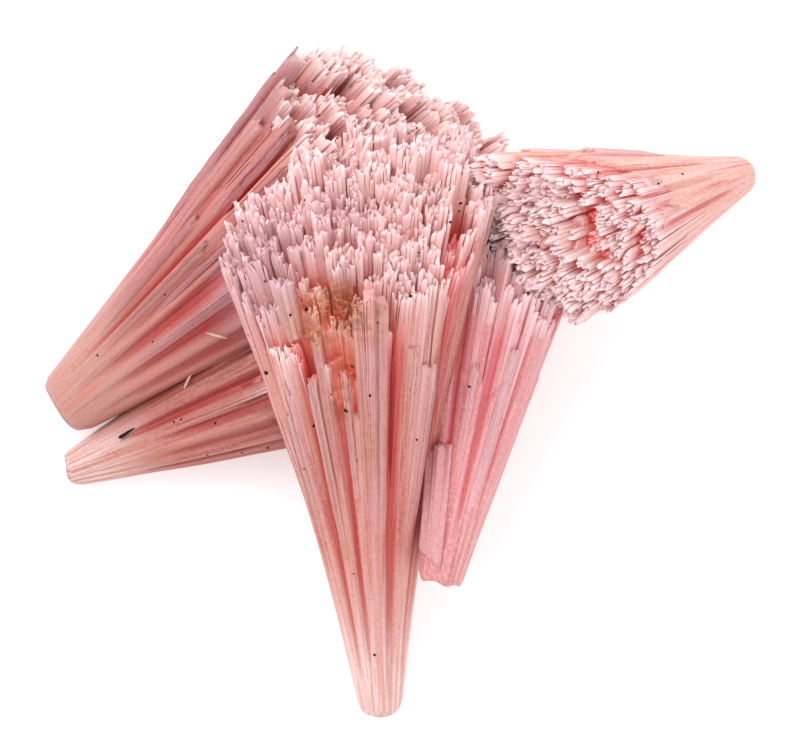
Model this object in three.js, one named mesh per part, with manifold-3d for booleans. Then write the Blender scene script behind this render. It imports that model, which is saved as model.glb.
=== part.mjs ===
// Kutnohorite specimen: five wheat-sheaf bundles of long pink crystals, grown through one another.
// Each sheaf narrows to a blunt broken root and opens into a domed head of stepped crystal ends.
// The specimen lies on its roots and on the undersides of the two left sheaves.
// Millimetres, +Z up. The origin is under the middle of the specimen, on the surface it lies on.

import * as THREE from "three";
import { mergeVertices } from "three/addons/utils/BufferGeometryUtils.js";
import Module from "manifold-3d";

const wasm = await Module();
wasm.setup();

// A sheaf's root is the middle of its broken end. Its heading is the direction in plan, from +X
// towards +Y, and its tilt is how steeply it climbs. Width and depth are the radii of a section:
// depth is measured square to the heading, in the upright plane. Flare is the share of the
// opening that is straight: below 1 the crystals bend outwards, above 1 they bend back in.
// The last ones are shares of the length: dome is how much shorter the outermost crystals are,
// slant how much shorter those on the left of the heading are, lean those on the upper side, and
// spur how much longer the outermost ones on the right of the heading are.
const SHEAVES = {
  front: {
    root: [-1.65, -26.9, 1.5],
    heading: 93.2,
    tilt: 27,
    length: 49.0,
    rootWidth: 1.75,
    rootDepth: 1.8,
    headWidth: 12.0,
    headDepth: 10.6,
    flare: 0.66,
    dome: 0.11,
    slant: 0.06,
    lean: 0.13,
  },
  lower_right: {
    root: [3.2, -16.3, 11.2],
    heading: 79.2,
    tilt: 6,
    length: 30.0,
    rootWidth: 1.75,
    rootDepth: 1.6,
    headWidth: 6.9,
    headDepth: 6.0,
    flare: 0.85,
    dome: 0.1,
    slant: -0.08,
    lean: 0.12,
  },
  upper_left: {
    root: [-27.55, -2.3, 2.5],
    heading: 38.9,
    tilt: 13.2,
    length: 39.6,
    rootWidth: 2.6,
    rootDepth: 2.4,
    headWidth: 11.8,
    headDepth: 12.4,
    flare: 0.94,
    dome: 0.12,
    slant: 0.08,
    lean: 0.08,
  },
  lower_left: {
    root: [-27.1, -7.45, 1.6],
    heading: 21.3,
    tilt: 10,
    length: 31.0,
    rootWidth: 1.4,
    rootDepth: 1.4,
    headWidth: 6.6,
    headDepth: 6.4,
    flare: 1.5,
    dome: 0.12,
    slant: 0,
    lean: 0.04,
  },
  right: {
    root: [28.1, 16.85, 0.95],
    heading: 201,
    tilt: 45,
    length: 27.2,
    rootWidth: 1.5,
    rootDepth: 1.5,
    headWidth: 8.1,
    headDepth: 7.8,
    flare: 0.97,
    dome: 0.15,
    slant: 0.07,
    lean: 0.18,
    spur: 0.16,
  },
};

// Laths stand in rings, their reach and thickness given as shares of the section's radius. The
// outer ring runs from the root, and the inner ones come out of the crowded core at start.
const LATH_RINGS = [
  { count: 3, reach: 0.2, thickness: 0.26, start: 0.6, bends: 1 },
  { count: 8, reach: 0.54, thickness: 0.24, start: 0.6, bends: 1 },
  { count: 13, reach: 0.83, thickness: 0.215, start: 0, bends: 2 },
];
const LATH_SIDES = 5;
const TIP_STEP = 0.075;
const CORE_REACH = 0.86;
const CORE_LENGTH = 0.7;
const CORE_SIDES = 11;

// Loose pieces that lie on the laths of the two left sheaves.
const BLADES = {
  dark_sliver: {
    length: 1.6,
    width: 0.4,
    thickness: 0.3,
    place: [-22.3, -4.4, 5.3],
    heading: 30,
    tilt: 12,
  },
  pale_splinter_upper: {
    length: 1.9,
    width: 0.26,
    thickness: 0.2,
    place: [-14.8, 3.5, 11.05],
    heading: 164,
    tilt: 10,
  },
  pale_splinter_lower: {
    length: 1.5,
    width: 0.26,
    thickness: 0.2,
    place: [-17.3, -0.2, 6.9],
    heading: 65,
    tilt: 20,
  },
};

const PINK = { color: "#d99a93", roughness: 0.42, metalness: 0 };
const PALE_PINK = { color: "#edc5bf", roughness: 0.45, metalness: 0 };
const NEAR_BLACK = { color: "#1b1614", roughness: 0.5, metalness: 0 };

// A small fixed-seed source of even numbers from 0 to 1.
function randomSource(seed) {
  let state = seed;
  return () => {
    state = (state * 1664525 + 1013904223) % 4294967296;
    return state / 4294967296;
  };
}

// The three directions of a sheaf: along it, across it in plan, and up square to both.
function directions(heading, tilt) {
  const turn = THREE.MathUtils.degToRad(heading);
  const climb = THREE.MathUtils.degToRad(tilt);
  const along = new THREE.Vector3(
    Math.cos(climb) * Math.cos(turn),
    Math.cos(climb) * Math.sin(turn),
    Math.sin(climb),
  );
  const across = new THREE.Vector3(-Math.sin(turn), Math.cos(turn), 0);
  return { along, across, up: along.clone().cross(across) };
}

// A closed three.js geometry as a manifold solid.
function toSolid(geometry) {
  geometry.deleteAttribute("normal");
  geometry.deleteAttribute("uv");
  const merged = mergeVertices(geometry, 1e-4);
  return new wasm.Manifold(
    new wasm.Mesh({
      numProp: 3,
      vertProperties: new Float32Array(merged.attributes.position.array),
      triVerts: new Uint32Array(merged.index.array),
    }),
  );
}

// A manifold solid as a three.js geometry with flat faces.
function toGeometry(solid) {
  const mesh = solid.getMesh();
  const geometry = new THREE.BufferGeometry();
  geometry.setAttribute("position", new THREE.BufferAttribute(mesh.vertProperties, 3));
  geometry.setIndex(new THREE.BufferAttribute(mesh.triVerts, 1));
  return geometry;
}

function joined(solids) {
  return solids.reduce((whole, next) => whole.add(next));
}

// The same geometry without its inner shells, which are pockets that crossing laths have sealed.
function withoutPockets(geometry) {
  const corners = geometry.index.array;
  const leaders = Array.from({ length: geometry.attributes.position.count }, (_, i) => i);
  const leaderOf = (corner) => {
    let leader = corner;
    while (leaders[leader] !== leader) {
      leader = leaders[leader];
    }
    leaders[corner] = leader;
    return leader;
  };
  for (let i = 0; i < corners.length; i += 3) {
    leaders[leaderOf(corners[i + 1])] = leaderOf(corners[i]);
    leaders[leaderOf(corners[i + 2])] = leaderOf(corners[i]);
  }
  const shells = new Map();
  for (let i = 0; i < corners.length; i += 3) {
    const leader = leaderOf(corners[i]);
    const shell = shells.get(leader) ?? [];
    shell.push(corners[i], corners[i + 1], corners[i + 2]);
    shells.set(leader, shell);
  }
  const outermost = [...shells.values()].reduce((a, b) => (a.length > b.length ? a : b));
  geometry.setIndex(outermost);
  return geometry;
}

// How far a sheaf has opened at a share of its length: 0 at the root, 1 at the head.
function opening(sheaf, share) {
  return sheaf.flare * share + (1 - sheaf.flare) * share * share;
}

function sectionRadii(sheaf, share) {
  const open = opening(sheaf, share);
  return {
    width: THREE.MathUtils.lerp(sheaf.rootWidth, sheaf.headWidth, open),
    depth: THREE.MathUtils.lerp(sheaf.rootDepth, sheaf.headDepth, open),
  };
}

// The share of the length at which a sheaf's domed head lies.
function headShare(sheaf, side, rise) {
  const rounding = sheaf.dome * (side * side + rise * rise);
  const longer = (sheaf.spur ?? 0) * THREE.MathUtils.smoothstep(-side, 0.35, 0.9);
  return 1 - rounding + longer - sheaf.slant * side - sheaf.lean * Math.max(rise, 0);
}

// The point at a share of the sheaf's length, side and rise in shares of the section's radii.
function pointIn(sheaf, axes, share, side, rise) {
  const radii = sectionRadii(sheaf, share);
  return new THREE.Vector3(...sheaf.root)
    .addScaledVector(axes.along, sheaf.length * share)
    .addScaledVector(axes.across, radii.width * side)
    .addScaledVector(axes.up, radii.depth * rise);
}

// One lath: a prism whose rings of corners follow the opening of the sheaf from start to tip.
function lath(sheaf, axes, { start, tip, side, rise, thickness, spin, bends }) {
  const geometry = new THREE.CylinderGeometry(thickness, thickness, 1, LATH_SIDES, bends);
  geometry.rotateX(Math.PI / 2);
  geometry.rotateZ(spin);
  const corners = geometry.attributes.position;
  for (let i = 0; i < corners.count; i += 1) {
    const share = THREE.MathUtils.lerp(start, tip, corners.getZ(i) + 0.5);
    const place = pointIn(sheaf, axes, share, side + corners.getX(i), rise + corners.getY(i));
    corners.setXYZ(i, ...place.toArray());
  }
  return toSolid(geometry);
}

// The laths of one sheaf, each a five-sided crystal that grows thicker towards its stepped end.
function laths(sheaf, axes, random) {
  const solids = [];
  for (const { count, reach, thickness, start, bends } of LATH_RINGS) {
    const turned = random() * Math.PI * 2;
    for (let i = 0; i < count; i += 1) {
      const bearing = turned + ((i + 0.3 * (random() - 0.5)) / count) * Math.PI * 2;
      const side = reach * Math.cos(bearing);
      const rise = reach * Math.sin(bearing);
      const step = TIP_STEP * (random() - 0.5);
      solids.push(
        lath(sheaf, axes, {
          start,
          tip: headShare(sheaf, side, rise) + step,
          side,
          rise,
          thickness: thickness * (0.92 + 0.2 * random()),
          spin: random() * Math.PI,
          bends,
        }),
      );
    }
  }
  return solids;
}

// The crowded middle of a sheaf, where its laths touch all round.
function core(sheaf, axes) {
  const root = sectionRadii(sheaf, 0);
  const top = sectionRadii(sheaf, CORE_LENGTH);
  const length = sheaf.length * CORE_LENGTH;
  const geometry = new THREE.CylinderGeometry(
    CORE_REACH * top.width,
    CORE_REACH * root.width,
    length,
    CORE_SIDES,
    1,
  );
  geometry.rotateX(Math.PI / 2);
  geometry.scale(1, top.depth / top.width, 1);
  const place = new THREE.Matrix4().makeBasis(axes.across, axes.up, axes.along);
  place.setPosition(pointIn(sheaf, axes, CORE_LENGTH / 2, 0, 0));
  geometry.applyMatrix4(place);
  return toSolid(geometry);
}

function sheafSolid(sheaf, random) {
  const axes = directions(sheaf.heading, sheaf.tilt);
  return joined([core(sheaf, axes), ...laths(sheaf, axes, random)]);
}

// All five sheaves grown together, worn flat where they touch the surface below.
function clusterGeometry() {
  const random = randomSource(11);
  const sheaves = Object.values(SHEAVES).map((sheaf) => sheafSolid(sheaf, random));
  const below = new THREE.BoxGeometry(200, 200, 50);
  below.translate(0, 0, -25);
  return withoutPockets(toGeometry(joined(sheaves).subtract(toSolid(below))));
}

// A loose blade with pointed ends, lying on the laths below it.
function bladeGeometry({ length, width, thickness, place, heading, tilt }) {
  const outline = new THREE.Shape();
  outline.moveTo(-length / 2, 0);
  outline.lineTo(-length * 0.32, -width / 2);
  outline.lineTo(length * 0.4, -width * 0.4);
  outline.lineTo(length / 2, width * 0.2);
  outline.lineTo(-length * 0.28, width / 2);
  outline.closePath();
  const geometry = new THREE.ExtrudeGeometry(outline, { depth: thickness, bevelEnabled: false });
  const axes = directions(heading, tilt);
  const matrix = new THREE.Matrix4().makeBasis(axes.along, axes.across, axes.up);
  matrix.setPosition(...place);
  geometry.applyMatrix4(matrix);
  return geometry;
}

const specimen = new THREE.Group();

function addPiece(name, geometry, finish) {
  const mesh = new THREE.Mesh(geometry, new THREE.MeshStandardMaterial(finish));
  mesh.name = name;
  specimen.add(mesh);
}

addPiece("sheaf_cluster", clusterGeometry(), PINK);
for (const [name, blade] of Object.entries(BLADES)) {
  addPiece(name, bladeGeometry(blade), name === "dark_sliver" ? NEAR_BLACK : PALE_PINK);
}

export default specimen;
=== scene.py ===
"""Looks of a kutnohorite specimen: wheat-sheaf bundles of pink crystals grown through one another.

Every crystal is first laid out in its sheaf's growth space, whose three numbers are side and
rise, in shares of the section's radii, and share, the part of the sheaf's length. One mapping
then takes whole arrays of such points to the specimen's own frame. Lengths are in millimetres
until a mesh is made in metres.
"""

import logging
import math
from dataclasses import dataclass, field, replace
from enum import Enum

import bmesh
import bpy
import numpy as np
from mathutils import Matrix, Vector
from mathutils.bvhtree import BVHTree


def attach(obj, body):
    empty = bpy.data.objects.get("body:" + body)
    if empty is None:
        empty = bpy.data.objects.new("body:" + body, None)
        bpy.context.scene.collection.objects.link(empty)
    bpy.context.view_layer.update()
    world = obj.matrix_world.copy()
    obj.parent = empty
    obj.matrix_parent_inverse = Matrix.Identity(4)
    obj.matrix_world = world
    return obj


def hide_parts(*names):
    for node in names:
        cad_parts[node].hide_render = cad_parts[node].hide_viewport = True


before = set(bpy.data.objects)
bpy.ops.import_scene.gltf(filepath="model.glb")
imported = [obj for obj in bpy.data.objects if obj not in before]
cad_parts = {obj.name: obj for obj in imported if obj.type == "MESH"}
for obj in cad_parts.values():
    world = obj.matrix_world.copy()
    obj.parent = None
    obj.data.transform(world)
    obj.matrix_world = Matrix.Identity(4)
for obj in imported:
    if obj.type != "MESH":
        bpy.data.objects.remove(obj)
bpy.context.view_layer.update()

MM = 0.001
BODY = "root"

Colour = tuple[float, float, float]
log = logging.getLogger("specimen")


def smooth(values: np.ndarray, low: float, high: float) -> np.ndarray:
    """Values eased from 0 at low to 1 at high.

    Args:
        values: any array.
        low: where the result leaves 0.
        high: where the result reaches 1.

    Returns:
        An array of the same shape, from 0 to 1.
    """
    t = np.clip((values - low) / (high - low), 0, 1)
    return t * t * (3 - 2 * t)


def signed(angle: np.ndarray | float) -> np.ndarray | float:
    """An angle in degrees, brought between -180 and 180."""
    return (angle + 180) % 360 - 180


def direction(heading: float, climb: float) -> tuple[float, float, float]:
    """A unit vector.

    Args:
        heading: its direction in plan, in degrees from +X towards +Y.
        climb: how steeply it rises, in degrees.

    Returns:
        Its X, Y and Z.
    """
    turn, rise = math.radians(heading), math.radians(climb)
    return math.cos(rise) * math.cos(turn), math.cos(rise) * math.sin(turn), math.sin(rise)


def put_in_scene(name: str, data: bpy.types.ID) -> bpy.types.Object:
    """Makes an object and links it to the scene.

    Args:
        name: its name.
        data: its mesh, lamp or camera.

    Returns:
        The object, at the origin.
    """
    made = bpy.data.objects.new(name, data)
    bpy.context.scene.collection.objects.link(made)
    return made


# --- growth space


@dataclass(frozen=True)
class Notch:
    """A broken-out place in a sheaf's head, where the crystals end short.

    Args:
        side: its middle across the sheaf.
        rise: its middle up the sheaf.
        half_side: half its width across.
        half_rise: half its depth.
        floor: the share of the length at which the crystals in it end.
    """

    side: float
    rise: float
    half_side: float
    half_rise: float
    floor: float

    def holds(self, side: np.ndarray, rise: np.ndarray) -> np.ndarray:
        """True where a place in the section is inside the notch."""
        across = (side - self.side) / self.half_side
        up = (rise - self.rise) / self.half_rise
        return across**2 + up**2 < 1


# Over these shares of the length a fold sets in, a furrow runs out and a rib breaks off.
FOLD_ONSET = 0.2
FURROW_END = 0.25
RIB_END = 0.012
# Folds by chance keep this many degrees away from the placed ones.
FOLD_CLEARANCE = 12
# Between these shares of the radius the crystals start to follow the folds.
FOLDED = (0.35, 0.95)
MOST_SKEW = 3.5


@dataclass(frozen=True)
class Fold:
    """A furrow or a rib that runs along a sheaf's flank.

    Args:
        angle: its place round the section, in degrees from across towards up.
        depth: how deep it is, in shares of the radius, negative for a rib.
        half_width: half its width, in degrees.
        start: the share of the length where it begins.
        end: the share where it ends, which a rib does with a step.
        skew: how much wider it is on the side of the greater angles.
    """

    angle: float
    depth: float
    half_width: float
    start: float
    end: float
    skew: float = 1.0

    def offset(self, around: np.ndarray, share: np.ndarray) -> np.ndarray:
        """How far the fold moves points outwards.

        Args:
            around: the points' places round the section, in degrees.
            share: their shares of the length.

        Returns:
            The distances, in shares of the radius.
        """
        away = signed(around - self.angle)
        width = np.where(away > 0, self.half_width * self.skew, self.half_width)
        profile = np.exp(-((away / width) ** 2))
        begun = smooth(share, self.start, self.start + FOLD_ONSET)
        last = FURROW_END if self.depth > 0 else RIB_END
        return -self.depth * profile * begun * (1 - smooth(share, self.end - last, self.end))


@dataclass(frozen=True)
class FoldKind:
    """The ranges that folds by chance are drawn from, each with its least and its most.

    Args:
        depth: their depths, in shares of the usual one.
        half_width: half their widths, in degrees.
        start: where they begin, in shares of the length.
        end: where they end.
    """

    depth: tuple[float, float]
    half_width: tuple[float, float]
    start: tuple[float, float]
    end: tuple[float, float]

    def draw(self, angle: float, usual: float, rng: np.random.Generator) -> Fold:
        """One fold by chance.

        Args:
            angle: its place round the section, in degrees.
            usual: the usual depth, negative for ribs.
            rng: the source of chance.

        Returns:
            The fold.
        """
        depth, half_width = usual * rng.uniform(*self.depth), rng.uniform(*self.half_width)
        skew = MOST_SKEW ** rng.uniform(-1, 1)
        start, end = rng.uniform(*self.start), rng.uniform(*self.end)
        return Fold(angle, depth, half_width, start, end, skew)


FURROW = FoldKind(depth=(0.5, 1.4), half_width=(2, 4), start=(0.02, 0.2), end=(0.8, 1.1))
RIB = FoldKind(depth=(0.4, 1.5), half_width=(1.2, 3), start=(0.05, 0.45), end=(0.45, 1.1))


@dataclass(frozen=True)
class Relief:
    """The furrows and ribs of a sheaf's flank, some placed and some by chance.

    Args:
        placed: folds with a place of their own.
        furrows: how many more furrows there are.
        ribs: how many ribs there are by chance.
        depth: the furrows' usual depth, in shares of the radius.
        height: the ribs' usual height.
        seed: the number that chance comes from.
    """

    placed: tuple[Fold, ...] = ()
    furrows: int = 9
    ribs: int = 46
    depth: float = 0.09
    height: float = 0.022
    seed: int = 1

    def folds(self) -> list[Fold]:
        """All the folds.

        Returns:
            The placed folds, then those by chance.
        """
        rng = np.random.default_rng(self.seed)
        made = list(self.placed)
        for _ in range(self.furrows):
            angle = rng.uniform(0, 360)
            if all(abs(signed(angle - fold.angle)) > FOLD_CLEARANCE for fold in self.placed):
                made.append(FURROW.draw(angle, self.depth, rng))
        for _ in range(self.ribs):
            made.append(RIB.draw(rng.uniform(0, 360), -self.height, rng))
        return made

    def warp(self, growth: np.ndarray) -> np.ndarray:
        """Points in growth space moved in or out by the folds.

        Args:
            growth: points in rows of side, rise and share.

        Returns:
            The moved points.
        """
        side, rise, share = growth.T
        around = np.degrees(np.arctan2(rise, side))
        offset = np.zeros(len(growth))
        for fold in self.folds():
            offset += fold.offset(around, share)
        scale = 1 + offset * smooth(np.hypot(side, rise), *FOLDED)
        return np.stack([side * scale, rise * scale, share], axis=1)


# The section still opens past the head, up to this share of the length.
PAST_HEAD = 1.2
# A spur rises between these distances on the right of the heading.
SPUR_RISE = (0.35, 0.9)


@dataclass(frozen=True)
class SheafShape:
    """The form of one sheaf, with the solid model's own numbers.

    Args:
        root: the middle of the broken root end.
        heading: direction in plan, in degrees from +X towards +Y.
        tilt: climb above the surface, in degrees.
        length: from the root to the top of the head.
        root_width: radius across at the root.
        root_depth: radius up at the root.
        head_width: radius across at the head.
        head_depth: radius up at the head.
        flare: share of the opening that is straight.
        dome: how much shorter the outermost crystals are.
        slant: how much shorter those on the left of the heading are.
        lean: how much shorter those on the upper side are.
        notches: broken-out places in the head.
        spur: how much longer the outermost ones on the right of the heading are.
    """

    root: tuple[float, float, float]
    heading: float
    tilt: float
    length: float
    root_width: float
    root_depth: float
    head_width: float
    head_depth: float
    flare: float
    dome: float
    slant: float
    lean: float
    notches: tuple[Notch, ...] = ()
    spur: float = 0.0

    def axes(self) -> np.ndarray:
        """Three rows: along the sheaf, across it in plan, and up square to both."""
        turn = math.radians(self.heading)
        along = np.array(direction(self.heading, self.tilt))
        across = np.array([-math.sin(turn), math.cos(turn), 0])
        return np.array([along, across, np.cross(along, across)])

    def radii(self, share: np.ndarray) -> tuple[np.ndarray, np.ndarray]:
        """Half width and half depth of the section at a share of the length."""
        opened = self.flare * share + (1 - self.flare) * share**2
        width = self.root_width + (self.head_width - self.root_width) * opened
        depth = self.root_depth + (self.head_depth - self.root_depth) * opened
        return width, depth

    def place(self, growth: np.ndarray) -> np.ndarray:
        """Points in millimetres for points in growth space.

        Args:
            growth: an array whose last axis is side, rise and share.

        Returns:
            An array of the same shape, in the specimen's frame.
        """
        side, rise, share = np.moveaxis(growth, -1, 0)
        along, across, up = self.axes()
        width, depth = self.radii(share)
        return (
            np.array(self.root)
            + (self.length * share)[..., None] * along
            + (width * side)[..., None] * across
            + (depth * rise)[..., None] * up
        )

    def locate(self, points: np.ndarray) -> np.ndarray:
        """Points in growth space for points in millimetres, the inverse of place().

        Args:
            points: an array whose last axis is X, Y and Z.

        Returns:
            An array of the same shape, in growth space.
        """
        along, across, up = self.axes()
        run = points - np.array(self.root)
        share = run @ along / self.length
        width, depth = self.radii(np.clip(share, 0, PAST_HEAD))
        return np.stack([run @ across / width, run @ up / depth, share], axis=-1)

    def head(self, side: np.ndarray, rise: np.ndarray) -> np.ndarray:
        """The share of the length at which the domed head lies."""
        rounding = self.dome * (side**2 + rise**2) - self.spur * smooth(-side, *SPUR_RISE)
        return 1 - rounding - self.slant * side - self.lean * np.maximum(rise, 0)

    def buried(self, growth: np.ndarray) -> np.ndarray:
        """How deep points lie below the sheaf's outside.

        Args:
            growth: the points in growth space.

        Returns:
            The depths in millimetres, negative outside the sheaf.
        """
        side, rise, share = np.moveaxis(growth, -1, 0)
        width, depth = self.radii(np.clip(share, 0, PAST_HEAD))
        flank = (1 - np.hypot(side, rise)) * (width + depth) / 2
        head = (self.head(side, rise) - share) * self.length
        return np.minimum(np.minimum(flank, head), share * self.length)


# --- tiling the section


# An outline needs this many corners to have an area.
FEWEST_CORNERS = 3
# Places along an edge where its first and its last bend lie.
BEND_SPAN = (0.06, 0.94)
# How far seeds stray from an even spread, in shares of their spacing.
SEED_JITTER = 0.34
# How often seeds move to the middles of their cells.
SETTLING_ROUNDS = 2


def cut_outline(outline: np.ndarray, point: np.ndarray, outward: np.ndarray) -> np.ndarray:
    """An outline without the part that lies beyond a line.

    Args:
        outline: corners in order, one row each.
        point: a point on the line.
        outward: the line's normal, towards the part that is cut away.

    Returns:
        The corners that are left, with new ones where the line crosses.
    """
    beyond = (outline - point) @ outward
    kept = []
    for here, there, a, b in zip(
        outline, np.roll(outline, -1, 0), beyond, np.roll(beyond, -1)
    ):
        if a <= 0:
            kept.append(here)
        if a * b < 0:
            kept.append(here + (there - here) * (a / (a - b)))
    return np.array(kept)


def tile(outline: np.ndarray, seeds: np.ndarray, nearest: int = 14) -> list[np.ndarray]:
    """Splits an outline into one cell for each seed, as crystals share the room between them.

    Args:
        outline: the corners of the whole.
        seeds: one point in each cell.
        nearest: how many neighbours can bound a cell.

    Returns:
        The cells' outlines, in the order of the seeds.
    """
    cells = []
    for i, seed in enumerate(seeds):
        gaps = np.linalg.norm(seeds - seed, axis=1)
        cell = outline
        for j in np.argsort(gaps)[1 : nearest + 1]:
            if len(cell) < FEWEST_CORNERS:
                break
            cell = cut_outline(cell, (seed + seeds[j]) / 2, seeds[j] - seed)
        cells.append(cell)
    return cells


def area_of(outline: np.ndarray) -> float:
    """The area inside an outline."""
    x, y = outline.T
    return 0.5 * abs(float(x @ np.roll(y, -1) - y @ np.roll(x, -1)))


def without_short_edges(outline: np.ndarray, shortest: float) -> np.ndarray:
    """An outline whose corners are no closer together than shortest."""
    kept = [outline[0]]
    for corner in outline[1:]:
        if np.linalg.norm(corner - kept[-1]) > shortest:
            kept.append(corner)
    if len(kept) > FEWEST_CORNERS and np.linalg.norm(kept[-1] - kept[0]) < shortest:
        kept.pop()
    return np.array(kept)


def with_bends(outline: np.ndarray, bends: int) -> np.ndarray:
    """An outline whose corners are cut, with more points along each edge.

    Args:
        outline: its corners.
        bends: how many points each edge gets. With one, the outline stays as it is.

    Returns:
        The new corners.
    """
    steps = np.linspace(*BEND_SPAN, bends) if bends > 1 else np.array([0.0])
    edges = np.roll(outline, -1, 0) - outline
    return (outline[:, None] + edges[:, None] * steps[None, :, None]).reshape(-1, 2)


def round_seeds(count: int, rng: np.random.Generator) -> np.ndarray:
    """Points spread over the unit disc, evenly but not in rows."""
    turn = math.pi * (3 - math.sqrt(5))
    i = np.arange(count)
    reach = np.sqrt((i + 0.5) / count)
    seeds = np.stack([reach * np.cos(turn * i), reach * np.sin(turn * i)], axis=1)
    return seeds + rng.normal(0, SEED_JITTER / math.sqrt(count), seeds.shape)


def seeds_within(outline: np.ndarray, count: int, rng: np.random.Generator) -> np.ndarray:
    """Points spread inside a convex outline.

    Args:
        outline: its corners.
        count: how many points there are, one for each crystal that it splits into.
        rng: the source of chance.

    Returns:
        The points.
    """
    centre = outline.mean(0)
    spots = []
    while len(spots) < count:
        i = rng.integers(len(outline))
        here, there = outline[i], outline[(i + 1) % len(outline)]
        a, b = rng.random(2)
        a, b = (1 - a, 1 - b) if a + b > 1 else (a, b)
        spots.append(centre + a * (here - centre) + b * (there - centre))
    seeds = np.array(spots)
    for _ in range(SETTLING_ROUNDS):
        cells = tile(outline, seeds)
        seeds = np.array(
            [c.mean(0) if len(c) >= FEWEST_CORNERS else s for c, s in zip(cells, seeds)]
        )
    return seeds


# --- swept crystals


@dataclass
class Crystal:
    """One crystal: an outline that is swept along the growth.

    Args:
        outline: corners in the section, about the crystal's own centre.
        centre: its middle in the section.
        proud: how far it stands out once grown, in shares of its distance from the middle.
        start: the share of the length where it begins.
        tip: the share where it ends.
        tone: a random number for its colour.
        lath_tone: a random number shared by the crystals of one lath.
        sway: how far to each side it wanders off its line, how fast, and from which phase.
    """

    outline: np.ndarray
    centre: np.ndarray
    proud: float
    start: float
    tip: float
    tone: float
    lath_tone: float
    sway: tuple[float, float, float, float]


@dataclass(frozen=True)
class Sweep:
    """How crystals of one kind are swept.

    Args:
        rings: how many sections a crystal has below its chipped tip.
        sunk: how far inside its place a crystal begins, in shares of the radius.
        emerge: the part of the crystal's length in which it comes out to its place.
        width: scale of the section along the rest, which leaves a gap to its neighbours.
        rounding: how much the corners are drawn in, once grown.
        chip: length of the chipped edge at the tip, in millimetres.
        tip_scale: how far the section closes over the chipped edge.
        slope: how slanting the broken tip is, in millimetres.
        rough: how uneven it is, in millimetres.
        fresh: how far below a frosty tip it looks, in millimetres.
    """

    rings: int
    sunk: float
    emerge: float
    width: float
    rounding: float
    chip: float
    tip_scale: float
    slope: float
    rough: float
    fresh: float = 0.0


# Over these shares of the length crystals come out to their own form.
GROWN = (0.25, 0.65)
# The section is this much wider than the solid model's.
SWELL = 1.025


@dataclass(frozen=True)
class Flank:
    """The sizes of a sheaf's grown-together flank.

    Args:
        end: the share of the length where it opens into single crystals.
        below: how far short of the head it stays, in shares of the length.
        reach: its radius, in shares of the section's.
        around: how many points it has round the section.
        along: how many rings it has.
        waves: how far its end swings in and out, in shares of the length.
        ragged: how uneven its end is from point to point.
        broken: how uneven the broken root is, in millimetres.
        root_rounding: how much the edge of the root is drawn in.
        end_rounding: how much its end dips in below the crystals.
    """

    end: float = 0.66
    below: float = 0.12
    reach: float = 0.985
    around: int = 280
    along: int = 64
    waves: float = 0.02
    ragged: float = 0.008
    broken: float = 0.1
    root_rounding: float = 0.12
    end_rounding: float = 0.4


@dataclass(frozen=True)
class Plate:
    """A broken plate of grown-together crystals that lies along a sheaf's flank.

    Args:
        angle: its middle round the section, in degrees from across towards up.
        half_width: half its width at the lower end, in degrees.
        out: how far it stands out, in shares of the radius.
        start: the share of the length where it begins.
        tip: the share where it ends.
        narrows: its width in degrees at the tip, in shares of that at the start.
        slants: how slanting its two ends are, in shares of the length.
        bare: whether its lower end is broken too, instead of coming out of the flank.
        fresh: how far below a frosty tip its tip looks, in millimetres.
    """

    angle: float
    half_width: float
    out: float
    start: float
    tip: float
    narrows: float = 0.6
    slants: tuple[float, float] = (0.0, 0.0)
    bare: bool = False
    fresh: float = 2.5


@dataclass(frozen=True)
class PlateForm:
    """What all broken plates have in common.

    Args:
        rings: how many rings each has.
        corners: how many points lie across its top.
        bow: how much lower its edges are than its middle, in shares of how far it stands out.
        streaks: how uneven its top is from point to point, in the same shares.
        wander: how far its edges stray, in degrees.
        keel: how far its underside reaches into the flank, in shares of the radius.
        keel_width: how wide the underside is, in shares of the top's width.
        emerge: the part of its length in which it comes out of the flank.
        sunk: how deep in the flank it begins, in shares of the radius.
        steps: how stepped its broken tip is, in shares of the length.
        step_range: the lowest and the highest step, in spreads.
        step_points: how many points share a step.
        start_steps: how stepped its lower end is, in shares of its tip's steps.
    """

    rings: int = 26
    corners: int = 21
    bow: float = 0.25
    streaks: float = 0.22
    wander: float = 0.12
    keel: float = 0.1
    keel_width: float = 0.9
    emerge: float = 0.5
    sunk: float = 0.03
    steps: float = 0.014
    step_range: tuple[float, float] = (-1.5, 0.8)
    step_points: int = 3
    start_steps: float = 0.15


PLATE_FORM = PlateForm()

# The finest waves round the flank's end and round its root, in waves to a turn.
END_WAVES = 30
ROOT_WAVES = 6
# The flank's rings: how they crowd towards the end, and the parts of its length over which the
# broken root evens out, the root's edge is rounded and the end dips in.
RING_CROWDING = 0.9
ROOT_EVENS = (0, 0.06)
ROOT_ROUNDED = (-0.012, 0.02)
END_ROUNDED = (0.8, 1)
# The flank's tones are middling, and it seems to end far beyond the head.
FLANK_LOOK = (0.5, 0.5, 1.5)
# Recesses deepen in from the flank and up from the root, in shares, and down from the head, in
# millimetres. The material paints a shade and a glow into the recesses. Crests stand out of the
# flank.
FLANK_RECESS = (0.025, 0.12)
ROOT_RECESS = (0.03, 0.26)
HEAD_RECESS = (0.6, 4.5)
# The material paints the crests paler, as a highlight.
CREST_HIGHLIGHT = (0.985, 1.03)


def waves_round(turns: np.ndarray, rng: np.random.Generator, finest: int) -> np.ndarray:
    """Waves round the section by chance.

    Args:
        turns: places round the section, in radians.
        rng: the source of chance.
        finest: how many waves to a turn the waves stay below.

    Returns:
        Their height at each place.
    """
    waves = [
        rng.normal(0, 1 / math.sqrt(k)) * np.sin(k * turns + rng.uniform(0, 6))
        for k in range(2, finest)
    ]
    return np.sum(waves, axis=0)


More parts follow.
